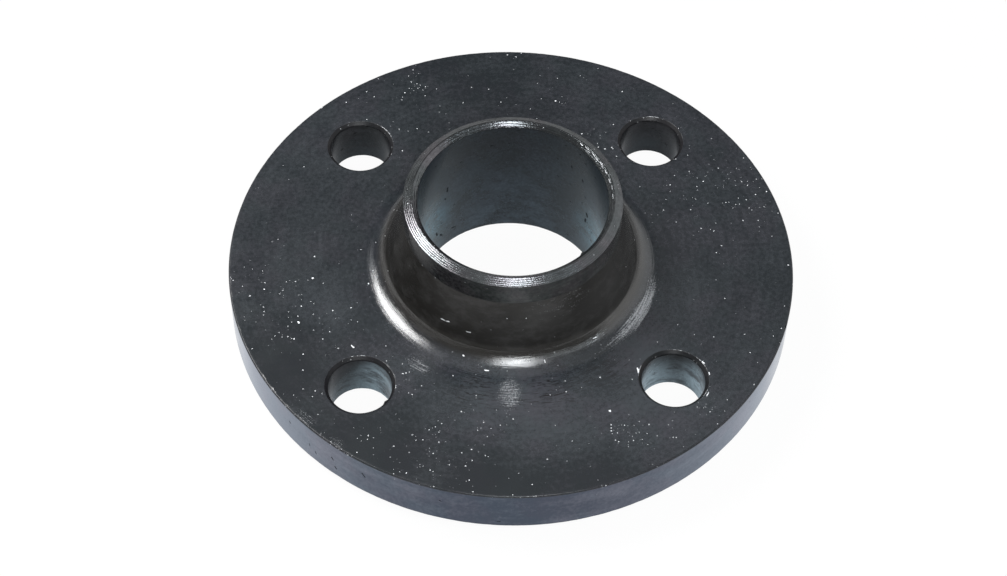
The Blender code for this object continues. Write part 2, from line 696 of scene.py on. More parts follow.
class TurningMarks(NodeGroup):
    """Fine rings that a cutting tool leaves, each fading in and out round the axis.

    Attributes:
        streak_stretch: Scale of the broad streaks along and across the marks.
        score_stretch: Scale of the noise that the short scores follow.
        scores: How many scores lie side by side in it.
        gap_stretch: Scale of the gaps in them.
    """

    name = "turning_marks"
    streak_stretch = (0.6, 0.6, 0.16)
    score_stretch = (0.3, 0.3, 0.16)
    scores = 12.0
    gap_stretch = (1.1, 1.1, 0.3)
    takes = {
        "Across": FLOAT,
        "Heading": VECTOR,
        "Pitch": FLOAT,
        "Drift": FLOAT,
        "Thread": FLOAT,
    }
    gives = {"Relief": FLOAT, "Streak": FLOAT, "Score": FLOAT}

    def make(self, work: NodeWork, taken: Sockets) -> Sockets:
        """Stretches noise round the axis: close rings, broad streaks and short scores.

        Args:
            work: The group's tree.
            taken: The group's inputs by name.

        Returns:
            The three, each from 0 to about 1.
        """
        across = work.over(taken["Across"], taken["Pitch"])
        swept = work.scaled(taken["Heading"], taken["Drift"])
        fine = work.vector("ADD", swept, work.joined(0.0, 0.0, across))
        wave = work.times(work.math("SINE", work.times(across, math.tau)), taken["Thread"])
        relief = work.plus(work.noise(fine, 1.0, 3.0, 0.6), wave)
        streaks = work.noise(work.vector("MULTIPLY", fine, self.streak_stretch), 1.0, 4.0, 0.7)
        streak = work.ramp(streaks, 0.42, 0.68)
        broad = work.noise(work.vector("MULTIPLY", fine, self.score_stretch), 1.0, 2.0, 0.5)
        off = work.math("ABSOLUTE", work.minus(work.math("FRACT", work.times(broad, self.scores)), 0.5))
        gaps = work.noise(work.vector("MULTIPLY", fine, self.gap_stretch), 1.0, 2.0, 0.6)
        score = work.times(work.ramp(off, 0.26, 0.08), work.ramp(gaps, 0.4, 0.55))
        return {"Relief": relief, "Streak": streak, "Score": score}


class Grain(NodeGroup):
    """The lacquer's own fine texture.

    Attributes:
        mottle_scale: Scale of the coarser texture, where the grain's is 1.
        cloud_scale: Clouds to the metre.
    """

    name = "grain"
    mottle_scale = 0.35
    cloud_scale = 90.0
    takes = {"Position": VECTOR, "Size": FLOAT}
    gives = {"Relief": FLOAT, "Mottle": FLOAT, "Cloud": FLOAT}

    def make(self, work: NodeWork, taken: Sockets) -> Sockets:
        """Noise as fine as the grain, a little coarser and much coarser.

        Args:
            work: The group's tree.
            taken: The group's inputs by name.

        Returns:
            The three, each from 0 to 1.
        """
        scale = work.over(1.0, taken["Size"])
        relief = work.noise(taken["Position"], scale, 2.0, 0.6)
        coarser = work.times(scale, self.mottle_scale)
        mottle = work.ramp(work.noise(taken["Position"], coarser, 3.0, 0.75), 0.3, 0.7)
        cloud = work.ramp(work.noise(taken["Position"], self.cloud_scale, 5.0, 0.6), 0.36, 0.64)
        return {"Relief": relief, "Mottle": mottle, "Cloud": cloud}


class Specks(NodeGroup):
    """Scattered dots of random size, in loose clusters, as many as the density asks.

    Attributes:
        wobble_scale: How often a dot's outline swings over the dot's size.
        cluster_scale: Clusters to the metre.
        faintest: Strength of the faintest dots.
        spread: How much stronger the strongest are.
    """

    name = "specks"
    wobble_scale = 1.5
    cluster_scale = 120.0
    faintest = 0.14
    spread = 0.75
    takes = {
        "Position": VECTOR,
        "Spacing": FLOAT,
        "Size": FLOAT,
        "Density": FLOAT,
    }
    gives = {"Mask": FLOAT}

    def make(self, work: NodeWork, taken: Sockets) -> Sockets:
        """Keeps the middle of some cells of a Voronoi pattern, bent out of round.

        Args:
            work: The group's tree.
            taken: The group's inputs by name.

        Returns:
            A mask of the dots.
        """
        scale = work.over(1.0, taken["Spacing"])
        wobbles = work.over(self.wobble_scale, taken["Size"])
        feeds = {"Vector": taken["Position"], "Scale": wobbles, "Detail": 0.0}
        wobble = work.vector("SUBTRACT", work.made("ShaderNodeTexNoise", feeds, "Color"), (0.5, 0.5, 0.5))
        bent = work.vector("ADD", taken["Position"], work.scaled(wobble, taken["Size"]))
        cells = work.add("ShaderNodeTexVoronoi", {"Vector": bent, "Scale": scale}, voronoi_dimensions="3D")
        pick, grow, shine = work.split(cells.outputs["Color"])
        away = work.times(cells.outputs["Distance"], taken["Spacing"])
        reach = work.times(taken["Size"], work.plus(0.45, work.times(grow, 0.55)))
        dot = work.ramp(away, reach, work.times(reach, 0.7))
        clusters = work.noise(taken["Position"], self.cluster_scale, 2.0, 0.6)
        cluster = work.ramp(clusters, 0.4, 0.62, 0.35, 2.0)
        kept = work.math("LESS_THAN", pick, work.times(taken["Density"], cluster))
        strength = work.plus(self.faintest, work.times(work.math("POWER", shine, 3.0), self.spread))
        return {"Mask": work.times(work.times(dot, kept), strength)}


class Patch(NodeGroup):
    """A soft round patch of the surface."""

    name = "patch"
    takes = {"Position": VECTOR, "Centre": VECTOR, "Reach": FLOAT}
    gives = {"Mask": FLOAT}

    def make(self, work: NodeWork, taken: Sockets) -> Sockets:
        """Falls off smoothly from 1 at the centre to 0 at the reach.

        Args:
            work: The group's tree.
            taken: The group's inputs by name.

        Returns:
            The patch's mask.
        """
        return {"Mask": work.ramp(work.apart(taken["Position"], taken["Centre"]), taken["Reach"], 0.0)}


class Swath(NodeGroup):
    """A soft patch that follows the tool marks round the axis."""

    name = "swath"
    takes = {
        "Radius": FLOAT,
        "Turn": FLOAT,
        "Centre Radius": FLOAT,
        "Centre Turn": FLOAT,
        "Reach": FLOAT,
        "Sweep": FLOAT,
    }
    gives = {"Mask": FLOAT}

    def make(self, work: NodeWork, taken: Sockets) -> Sockets:
        """Falls off smoothly from 1 along the middle to 0 at the reach and at the sweep's ends.

        Args:
            work: The group's tree.
            taken: The group's inputs by name.

        Returns:
            The swath's mask.
        """
        out = work.over(work.minus(taken["Radius"], taken["Centre Radius"]), taken["Reach"])
        round_it = work.over(work.minus(taken["Turn"], taken["Centre Turn"]), taken["Sweep"])
        return {"Mask": work.ramp(work.length(out, round_it), 1.0, 0.2)}


class Scratch(NodeGroup):
    """A straight scratch between two points.

    Attributes:
        ragged_scale: How often its width swings, to the metre.
    """

    name = "scratch"
    ragged_scale = 3500.0
    takes = {
        "Position": VECTOR,
        "From": VECTOR,
        "To": VECTOR,
        "Width": FLOAT,
    }
    gives = {"Mask": FLOAT}

    def make(self, work: NodeWork, taken: Sockets) -> Sockets:
        """Measures how far each point is from the line, which is a little ragged.

        Args:
            work: The group's tree.
            taken: The group's inputs by name.

        Returns:
            The scratch's mask.
        """
        run = work.vector("SUBTRACT", taken["To"], taken["From"])
        rest = work.vector("SUBTRACT", taken["Position"], taken["From"])
        along = work.over(work.dot(rest, run), work.dot(run, run), clamp=True)
        nearest = work.vector("ADD", taken["From"], work.scaled(run, along))
        away = work.apart(taken["Position"], nearest)
        swing = work.noise(taken["Position"], self.ragged_scale, 1.0, 0.5)
        ragged = work.ramp(swing, 0.35, 0.65, 0.35, 0.6)
        reach = work.times(taken["Width"], ragged)
        return {"Mask": work.ramp(away, reach, work.times(reach, 0.6))}


@dataclass
class ShaderKit:
    """The shader groups, built once and shared by the finishes.

    Attributes:
        axis: Measures round the flange's axis and the holes'.
        marks: Tool marks.
        grain: The lacquer's texture.
        specks: Chips and pits.
        patch: Soft round patches.
        swath: Soft patches along the tool marks.
        scratch: Single scratches.
    """

    axis: RoundTheAxis = field(default_factory=RoundTheAxis)
    marks: TurningMarks = field(default_factory=TurningMarks)
    grain: Grain = field(default_factory=Grain)
    specks: Specks = field(default_factory=Specks)
    patch: Patch = field(default_factory=Patch)
    swath: Swath = field(default_factory=Swath)
    scratch: Scratch = field(default_factory=Scratch)


# Finishes


@dataclass(frozen=True)
class Spot:
    """A place on the surface by its angle round the axis, with a reach and a strength.

    Attributes:
        angle: Degrees from +X.
        radius: Distance from the axis.
        reach: How far it spreads.
        strength: How strong it is at its centre.
        height: Height above the sealing face.
        sweep: Degrees that it runs round the axis to either side, or 0 where it is round.
    """

    angle: float
    radius: float
    reach: float
    strength: float
    height: float = 0.018
    sweep: float = 0.0

    def centre(self) -> Point:
        """The spot's centre."""
        turn = math.radians(self.angle)
        return (self.radius * math.cos(turn), self.radius * math.sin(turn), self.height)


@dataclass(frozen=True)
class Stroke:
    """One scratch that stands out, or a painted glint drawn as one, in the frame's own coordinates.

    Attributes:
        start: Where it starts.
        end: Where it ends.
        width: How wide it is.
        bright: Whether it is bright, as bright steel or as a painted glint, not a dark groove.
    """

    start: Point
    end: Point
    width: float = 0.0003
    bright: bool = True


def spots(*rows: tuple[float, ...]) -> tuple[Spot, ...]:
    """Reads a table of spots.

    Args:
        rows: The fields of each spot in their order, without the last ones where those are as usual.

    Returns:
        The spots.
    """
    return tuple(Spot(*row) for row in rows)


def strokes(*rows: tuple[float, ...], bright: bool = True) -> tuple[Stroke, ...]:
    """Reads a table of scratches and painted glints.

    Args:
        rows: For each its start, its end and its width, in millimetres.
        bright: Whether they are bright, as bright steel or as painted glints.

    Returns:
        The scratches.
    """
    sized = [[value * MM for value in row] for row in rows]
    return tuple(Stroke(tuple(row[:3]), tuple(row[3:6]), row[6], bright) for row in sized)


@dataclass(frozen=True)
class Ground:
    """What a finish is worked on.

    Attributes:
        work: The material's tree.
        kit: The shader groups.
        position: Each point's place in the frame.
        axis: Where it lies round the axis that the tool marks follow.
    """

    work: NodeWork
    kit: ShaderKit
    position: Any
    axis: Sockets

    def spread(self, spots: tuple[Spot, ...]) -> Any:
        """The sum of soft patches.

        Args:
            spots: The patches.

        Returns:
            Their strengths added up at each point.
        """
        total: Any = 0.0
        for spot in spots:
            mask = self._swath(spot) if spot.sweep else self._patch(spot)
            total = self.work.plus(total, self.work.times(mask, spot.strength))
        return total

    def dots(self, position: Any, spacing: float, size: float, density: Any) -> Any:
        """Scatters dots.

        Args:
            position: Where each point lies in the pattern.
            spacing: Width of the pattern's cells.
            size: Largest radius of a dot.
            density: Share of the cells that hold one.

        Returns:
            A mask of them.
        """
        feeds = {"Position": position, "Spacing": spacing, "Size": size, "Density": density}
        return self.kit.specks.place(self.work, **feeds)["Mask"]

    def line(self, stroke: Stroke) -> Any:
        """The mask of a scratch."""
        feeds = {"Position": self.position, "From": stroke.start, "To": stroke.end, "Width": stroke.width}
        return self.kit.scratch.place(self.work, **feeds)["Mask"]

    def _patch(self, spot: Spot) -> Any:
        """The mask of a round spot."""
        feeds = {"Position": self.position, "Centre": spot.centre(), "Reach": spot.reach}
        return self.kit.patch.place(self.work, **feeds)["Mask"]

    def _swath(self, spot: Spot) -> Any:
        """The mask of a spot that follows the tool marks."""
        feeds = {
            "Radius": self.axis["Radius"],
            "Turn": self.axis["Turn"],
            "Centre_Radius": spot.radius,
            "Centre_Turn": math.radians(spot.angle),
            "Reach": spot.reach,
            "Sweep": math.radians(spot.sweep),
        }
        return self.kit.swath.place(self.work, **feeds)["Mask"]


@dataclass(frozen=True)
class Lacquer:
    """Black lacquer over cut steel, as one stretch of the surface wears it.

    Attributes:
        name: The material's name.
        colour: The lacquer's colour.
        faded: The colour that it fades to along marks and in clouds.
        roughness: How matt it is.
        metallic: How much bare metal shines through.
        ior: Refractive index of the lacquer.
        tint: Tint of its glancing reflections.
        cool: Cast of the colour where it drifts one way.
        warm: Cast where it drifts the other way.
        cut: Which way the tool marks lie.
        pitch: Width of one tool mark.
        drift: How often a tool mark fades in and out round the axis.
        thread: Share of the tool marks that run on evenly.
        mark_depth: Depth of the tool marks.
        mark_tone: How strongly the marks show in the colour.
        grain_depth: Depth of the fine grain.
        grain_size: Size of the fine grain.
        mottle: How strongly the grain shows in the colour.
        haze: How much the roughness varies.
        base_share: Share of the faded colour everywhere.
        cloud_tone: How strongly the clouds show in the colour.
        cast_scale: How often the cast drifts, to the metre.
        chips: Share of the cells that hold a chip in the lacquer.
        chip_spacing: Width of those cells.
        chip_size: Largest radius of a chip.
        chip_roughness: How matt the bare steel is.
        pits: Share of the cells that hold a dark pit.
        pit_spacing: Width of those cells.
        pit_size: Largest radius of a pit.
        pit_roughness: How matt a pit is.
        pit_girth: The radius that the turn round the axis is laid out on, so that pits are long.
        toned: Where the faded colour shows more, or less. On the rim, the neck band and the bevel these
            places are painted reflections and painted shade.
        rubbed: Where the lacquer is rubbed grey. On the plate, the fillet and the cone some of these places
            are painted highlights and painted reflections laid on the same way.
        rub_from: Height of the ridges at which the steel starts to show there.
        rub_full: Height at which it shows most.
        rub_most: How strongly it then shows.
        strokes: Scratches that stand out. Some bright ones are painted glints.
    """

    name: str
    colour: Colour
    faded: Colour
    roughness: float
    metallic: float = 0.0
    ior: float = 1.75
    tint: Colour = (1.0, 1.0, 1.0)
    cool: Colour = (0.95, 1.0, 0.99)
    warm: Colour = (1.06, 1.0, 1.03)
    cut: Cut = Cut.FACED
    pitch: float = 0.0003
    drift: float = 9.0
    thread: float = 0.0
    mark_depth: float = 0.000008
    mark_tone: float = 0.2
    grain_depth: float = 0.000006
    grain_size: float = 0.0004
    mottle: float = 0.3
    haze: float = 0.04
    base_share: float = 0.2
    cloud_tone: float = 0.15
    cast_scale: float = 70.0
    chips: float = 0.03
    chip_spacing: float = 0.0012
    chip_size: float = 0.00026
    chip_roughness: float = 0.6
    pits: float = 0.0
    pit_spacing: float = 0.0011
    pit_size: float = 0.0003
    pit_roughness: float = 0.7
    pit_girth: float = 0.012
    toned: tuple[Spot, ...] = ()
    rubbed: tuple[Spot, ...] = ()
    rub_from: float = 0.82
    rub_full: float = 1.12
    rub_most: float = 0.4
    strokes: tuple[Stroke, ...] = ()

    def material(self, kit: ShaderKit, hole_offset: float) -> bpy.types.Material:
        """Builds the material.

        Args:
            kit: The shader groups.
            hole_offset: Each bolt hole's distance from the X and Y centre lines.

        Returns:
            The material.
        """
        material, shader = lit(self.name)
        work = NodeWork(material.node_tree)
        shader.inputs["Metallic"].default_value = self.metallic
        shader.inputs["IOR"].default_value = self.ior
        shader.inputs["Specular Tint"].default_value = (*self.tint, 1.0)
        position = work.add("ShaderNodeTexCoord").outputs["Object"]
        axis = self.centred(kit.axis.place(work, Position=position, Hole_Offset=hole_offset))
        ground = Ground(work, kit, position, axis)
        feeds = {"Across": self.across(ground), "Heading": axis["Heading"], "Pitch": self.pitch}
        marks = kit.marks.place(work, **feeds, Drift=self.drift, Thread=self.thread)
        grain = kit.grain.place(work, Position=position, Size=self.grain_size)
        # bare holds the chips and the bright strokes; some bright strokes are painted glints, coloured like
        # bare steel.
        bare = work.most(self.chipped(ground), self.scratched(ground, bright=True))
        pitted = work.most(self.pitted(ground), self.scratched(ground, bright=False))
        colour = self.thinned(ground, marks, grain, self.shade(ground, marks, grain))
        colour = work.blend(work.times(pitted, PIT_COVER), colour, PIT_COLOUR)
        work.feed(shader.inputs["Base Color"], work.blend(bare, colour, CHIP_AND_GLINT_COLOUR))
        swing = work.ramp(grain["Cloud"], 0.0, 1.0, self.roughness - self.haze, self.roughness + self.haze)
        dull = work.most(work.times(bare, self.chip_roughness), work.times(pitted, self.pit_roughness))
        work.feed(shader.inputs["Roughness"], work.most(swing, dull))
        sunk = work.plus(bare, pitted)
        work.feed(shader.inputs["Normal"], self.relief(work, marks, grain, sunk))
        return material

    def centred(self, axis: Sockets) -> Sockets:
        """The axis that the tool marks run round: the flange's own."""
        return axis

    def across(self, ground: Ground) -> Any:
        """The distance across the tool marks.

        Args:
            ground: The ground.

        Returns:
            The distance.
        """
        work, (radial, axial) = ground.work, self.cut.value
        outwards = work.times(ground.axis["Radius"], radial)
        return work.plus(outwards, work.times(ground.axis["Height"], axial))

    def shade(self, ground: Ground, marks: Sockets, grain: Sockets) -> Any:
        """Mixes the lacquer's two colours along the marks, with the grain and in the toned places, which on
        some finishes are painted light and painted shade.

        Args:
            ground: The ground.
            marks: The tool marks.
            grain: The grain.

        Returns:
            The colour.
        """
        work = ground.work
        cloudy = work.times(grain["Cloud"], self.cloud_tone)
        streaky = work.times(marks["Streak"], self.mark_tone)
        grainy = work.times(work.minus(grain["Mottle"], 0.5), self.mottle)
        share = work.plus(work.plus(cloudy, streaky), work.plus(grainy, self.base_share))
        share = work.plus(share, ground.spread(self.toned), clamp=True)
        plain = work.blend(share, self.colour, self.faded)
        drifting = work.ramp(work.noise(ground.position, self.cast_scale, 3.0, 0.6), 0.4, 0.6)
        return work.blend(1.0, plain, work.blend(drifting, self.cool, self.warm), "MULTIPLY")

    def thinned(self, ground: Ground, marks: Sockets, grain: Sockets, colour: Any) -> Any:
        """Lets the steel through where the lacquer is rubbed, first on the ridges of the marks and the grain.
        Some of these places are painted highlights and painted reflections.

        Args:
            ground: The ground.
            marks: The tool marks.
            grain: The grain.
            colour: The lacquer's colour.

        Returns:
            The colour with the rubbed places.
        """
        if not self.rubbed:
            return colour
        work = ground.work
        ridges = work.plus(work.times(marks["Relief"], 0.6), work.times(grain["Relief"], 0.5))
        thin = work.plus(ridges, work.times(ground.spread(self.rubbed), 0.45))
        bare_and_sheen = work.ramp(thin, self.rub_from, self.rub_full, 0.0, self.rub_most)
        return work.blend(bare_and_sheen, colour, CHIP_AND_GLINT_COLOUR)

    def chipped(self, ground: Ground) -> Any:
        """A mask of the small chips in the lacquer."""
        return ground.dots(ground.position, self.chip_spacing, self.chip_size, self.chips)

    def pitted(self, ground: Ground) -> Any:
        """A mask of the dark pits, which are longer round the axis than across it.

        Args:
            ground: The ground.

        Returns:
            The mask.
        """
        work = ground.work
        along = work.times(ground.axis["Turn"], self.pit_girth)
        flat = work.joined(along, self.across(ground), 0.0)
        return work.ramp(ground.dots(flat, self.pit_spacing, self.pit_size, self.pits), 0.05, 0.4, 0.0, 0.85)

    def scratched(self, ground: Ground, bright: bool) -> Any:
        """The scratches that stand out, with painted glints among the bright ones.

        Args:
            ground: The ground.
            bright: Whether the bright ones are wanted, or else the dark ones.

        Returns:
            A mask of them.
        """
        total: Any = 0.0
        for stroke in self.strokes:
            if stroke.bright is bright:
                total = ground.work.most(total, ground.line(stroke))
        return total

    def relief(self, work: NodeWork, marks: Sockets, grain: Sockets, sunk: Any) -> Any:
        """Bumps the surface.

        Args:
            work: The material's tree.
            marks: The tool marks.
            grain: The grain.
            sunk: Mask of the chips, pits and scratches.

        Returns:
            The normal.
        """
        lift = work.times(marks["Relief"], self.mark_depth)
        lift = work.plus(lift, work.times(grain["Relief"], self.grain_depth))
        height = work.minus(lift, work.times(sunk, SUNK_DEPTH))
        return work.made("ShaderNodeBump", {"Strength": 1.0, "Distance": 1.0, "Height": height})


@dataclass(frozen=True)
class BackLacquer(Lacquer):
    """The lacquer on the plate's back face, the fillet and the hub, which is the most worn.

    Attributes:
        hub_colour: The browner colour on the hub's cone.
        hub_faded: The colour that it fades to along marks and in the toned places, where on the cone it is a
            painted reflection.
        hub_toned: Those places, which on the cone are painted reflections.
        hub_from: Height at which the hub's colour starts.
        hub_to: Height above which it is full.
        large_spacing: Width of the cells of the large chips.
        large_size: Largest radius of a large chip.
        large_share: How many large chips there are to a small one, by cells.
        flecked: Where the chips lie thick.
        scored: Where dark scores follow the tool marks.
    """

    chip_spacing: float = 0.0009
    chip_size: float = 0.00024
    large_spacing: float = 0.002
    large_size: float = 0.00038
    large_share: float = 0.25
    hub_colour: Colour = (0.021, 0.020, 0.0185)
    hub_faded: Colour = (0.075, 0.074, 0.073)
    hub_toned: tuple[Spot, ...] = ()
    hub_from: float = 0.0184
    hub_to: float = 0.0205
    flecked: tuple[Spot, ...] = ()
    scored: tuple[Spot, ...] = ()

    def shade(self, ground: Ground, marks: Sockets, grain: Sockets) -> Any:
        """Adds the hub's browner colour with its painted reflections, and the dark scores.

        Args:
            ground: The ground.
            marks: The tool marks.
            grain: The grain.

        Returns:
            The colour.
        """
        work = ground.work
        plain = super().shade(ground, marks, grain)
        hub_share = work.plus(work.times(marks["Streak"], 0.3), ground.spread(self.hub_toned), clamp=True)
        lined = work.blend(hub_share, self.hub_colour, self.hub_faded)
        colour = work.blend(work.ramp(ground.axis["Height"], self.hub_from, self.hub_to), plain, lined)
        scored = work.times(marks["Score"], ground.spread(self.scored), clamp=True)
        return work.blend(scored, colour, PIT_COLOUR)

    def chipped(self, ground: Ground) -> Any:
        """A mask of the chips, thick in the flecked places, with a few large ones.

        Args:
            ground: The ground.

        Returns:
            The mask.
        """
        work = ground.work
        density = work.plus(ground.spread(self.flecked), self.chips)
        small = ground.dots(ground.position, self.chip_spacing, self.chip_size, density)
        elsewhere = work.vector("ADD", ground.position, (0.3, 0.1, 0.2))
        fewer = work.times(density, self.large_share)
        return work.most(small, ground.dots(elsewhere, self.large_spacing, self.large_size, fewer))


@dataclass(frozen=True)
class WornEdge(Lacquer):
    """The lacquer on a rounded edge, rubbed through in broken lines.

    Attributes:
        steel: Colour of the bare steel.
        break_scale: How often the lines are broken, to the metre.
        bare_from: Height of the noise at which the steel starts to show.
        bare_full: Height at which it is bare.
        bare_and_sheen: Where more of it shows.
    """

    steel: Colour = (0.5, 0.51, 0.53)
    break_scale: float = 1500.0
    bare_from: float = 0.68
    bare_full: float = 0.78
    bare_and_sheen: tuple[Spot, ...] = ()

    def shade(self, ground: Ground, marks: Sockets, grain: Sockets) -> Any:
        """Lets the bare steel through where the noise is highest.

        Args:
            ground: The ground.
            marks: The tool marks.
            grain: The grain.

        Returns:
            The colour.
        """
        work = ground.work
        plain = super().shade(ground, marks, grain)
        broken = work.plus(work.noise(ground.position, self.break_scale, 3.0, 0.7), ground.spread(self.bare_and_sheen))
        return work.blend(work.ramp(broken, self.bare_from, self.bare_full), plain, self.steel)


@dataclass(frozen=True)
class BoredLacquer(Lacquer):
    """The thin lacquer in a bored hole, through which bluish steel shows further down, with painted light
    from the floor and painted sheens there.

    Attributes:
        deep: Colour at the foot: bluish steel with painted light from the floor below.
        sheen: Colour of the painted sheen, a reflection of the floor, where it shows most.
        deep_from: Height at which the deep colour starts.
        deep_to: Height below which it is full.
        bare_and_sheen: Where the painted sheen shows.
    """

    deep: Colour = (0.04, 0.046, 0.052)
    sheen: Colour = (0.11, 0.15, 0.175)
    deep_from: float = 0.04
    deep_to: float = 0.004
    bare_and_sheen: tuple[Spot, ...] = ()

    def shade(self, ground: Ground, marks: Sockets, grain: Sockets) -> Any:
        """Fades from the lacquer's colours at the mouth to bluish steel with painted floor light, and paints
        the sheens on.

        Args:
            ground: The ground.
            marks: The tool marks.
            grain: The grain.

        Returns:
            The colour.
        """
        work = ground.work
        plain = super().shade(ground, marks, grain)
        # Painted light: the colour turns lighter and bluer towards the foot, where light from the floor below
        # reaches, over bluish steel.
        down = work.ramp(ground.axis["Height"], self.deep_from, self.deep_to)
        worn = work.ramp(marks["Streak"], 0.0, 1.0, 1.0, 1.0 - self.mark_tone)
        colour = work.blend(work.times(down, worn), plain, self.deep)
        # Painted sheen: reflections of the floor painted in the spots, broken up along the streaks.
        share = work.times(ground.spread(self.bare_and_sheen), worn, clamp=True)
        swing = work.times(work.plus(grain["Mottle"], grain["Cloud"]), self.mottle)
        grainy = work.plus(swing, 1.0 - self.mottle)
        sheened = work.blend(share, colour, self.sheen)
        return work.blend(1.0, sheened, work.joined(grainy, grainy, grainy), "MULTIPLY")


@dataclass(frozen=True)
class DrilledLacquer(BoredLacquer):
    """The lacquer on a bolt hole's wall, whose marks run round the hole's own axis."""

    def centred(self, axis: Sockets) -> Sockets:
        """The axis that the tool marks run round: the hole's."""
        return {**axis, **{name: axis[f"Hole {name}"] for name in ("Heading", "Turn", "Radius")}}


# Sub-assemblies


@dataclass(frozen=True)
class Neck:
    """The hub's fillet and cone, the straight neck with its weld bevel, the bore and the sealing face.

    Attributes:
        bore_radius: Radius of the bore.
        neck_radius: Outer radius of the straight neck.
        hub_foot_radius: Radius at which the cone would meet the plate.
        fillet_radius: Radius of the fillet between cone and plate.
        fillet_margin: Width of flat plate that is turned along with the fillet.
        cone_top: Height at which the cone meets the straight neck.
        top: Height of the weld end.
        bevel_angle: Lean of the weld bevel from the plane of the end.
        land_width: Width of the flat ring at the end.
        inner_chamfer: Width and height of the chamfer inside the end.
        bore_break: Rounding of the bore's edge at the sealing face.
        face_radius: Radius of the raised face.
        face_height: Its height.
        face_break: Rounding of its edge.
        front_margin: Width of flat plate that is turned along with it.
        groove_pitch: Distance from ridge to ridge of the sealing face.
        groove_depth: Depth of its grooves.
        groove_margin: Plain width at both ends of the grooves.
        steps: Faces round the axis.
    """

    bore_radius: float = 0.02725
    neck_radius: float = 0.03125
    hub_foot_radius: float = 0.0375
    fillet_radius: float = 0.008
    fillet_margin: float = 0.0004
    cone_top: float = 0.0374
    top: float = 0.046
    bevel_angle: float = math.radians(30)
    land_width: float = 0.0004
    inner_chamfer: float = 0.0013
    bore_break: float = 0.0005
    face_radius: float = 0.051
    face_height: float = 0.003
    face_break: float = 0.0003
    front_margin: float = 0.001
    groove_pitch: float = 0.0008
    groove_depth: float = 0.00005
    groove_margin: float = 0.0006
    steps: int = 448

    def fillet_reach(self, plate_top: float) -> float:
        """How far the fillet runs out along the plate from the cone's foot."""
        lean = math.atan2(self.hub_foot_radius - self.neck_radius, self.cone_top - plate_top)
        return self.fillet_radius * math.tan((math.pi / 2 - lean) / 2)

    def foot(self, plate_top: float) -> float:
        """Radius at which the plate's flat back face starts."""
        return self.hub_foot_radius + self.fillet_reach(plate_top) + self.fillet_margin

    def front_foot(self) -> float:
        """Radius at which the plate's flat front face starts."""
        return self.face_radius + self.front_margin

    def grooves(self) -> list[Corner]:
        """The fine rings turned into the sealing face, from the bore outwards."""
        start = self.bore_radius + self.bore_break + self.groove_margin
        end = self.face_radius - self.face_break - self.groove_margin
        count = int((end - start) / self.groove_pitch)
        found: list[Corner] = []
        for index in range(count):
            ridge = start + index * self.groove_pitch
            found.append(Corner(ridge, 0.0, Zone.SEALING))
            found.append(Corner(ridge + self.groove_pitch / 2, self.groove_depth, Zone.SEALING))
        found.append(Corner(start + count * self.groove_pitch, 0.0, Zone.SEALING))
        return found

    def outline(self, plate_top: float) -> Outline:
        """The run from the plate's back face up the hub, down the bore and out over the sealing face.

        Args:
            plate_top: Height of the plate's back face.

        Returns:
            The outline.
        """
        land_inside = self.bore_radius + self.inner_chamfer
        land_outside = land_inside + self.land_width
        bevel_foot = self.top - (self.neck_radius - land_outside) * math.tan(self.bevel_angle)
        corners = [
            Corner(self.foot(plate_top), plate_top, Zone.FILLET),
            Corner(self.hub_foot_radius, plate_top, Zone.CONE, self.fillet_radius, Zone.FILLET, 0.8),
            Corner(self.neck_radius, self.cone_top, Zone.BAND, 0.0002),
            Corner(self.neck_radius, bevel_foot, Zone.BEVEL, 0.00014, Zone.BEVEL),
            Corner(land_outside, self.top, Zone.BEVEL, 0.0001),
            Corner(land_inside, self.top, Zone.BEVEL, 0.00012),
            Corner(self.bore_radius, self.top - self.inner_chamfer, Zone.BORE, 0.0002),
            Corner(self.bore_radius, 0.0, Zone.SEALING, self.bore_break, Zone.SEALING),
            *self.grooves(),
            Corner(self.face_radius, 0.0, Zone.FRONT, self.face_break, Zone.SEALING),
            Corner(self.face_radius, self.face_height, Zone.FRONT, 0.0004),
            Corner(self.front_foot(), self.face_height, Zone.FRONT),
        ]
        return Outline(tuple(corners))


@dataclass(frozen=True)
class Plate:
    """The round plate, from its front face round the rim to its back face.

    Attributes:
        radius: Radius of the rim.
        top: Height of the back face.
        bottom: Height of the front face.
        edge_break: Rounding of the rim's edges.
        margin: Width of both faces that is turned along with the rim.
        steps: Faces round the axis.
    """

    radius: float = 0.0825
    top: float = 0.018
    bottom: float = 0.003
    edge_break: float = 0.0005
    margin: float = 0.0009
    steps: int = 1024

    def inner(self) -> float:
        """Radius at which the rim's own skin ends on both faces."""
        return self.radius - self.margin

    def outline(self) -> Outline:
        """The run from the front face round the rim to the back face."""
        corners = (
            Corner(self.inner(), self.bottom, Zone.FRONT),
            Corner(self.radius, self.bottom, Zone.RIM, self.edge_break, Zone.EDGE),
            Corner(self.radius, self.top, Zone.BACK, self.edge_break, Zone.EDGE),
            Corner(self.inner(), self.top, Zone.BACK),
        )
        return Outline(corners)


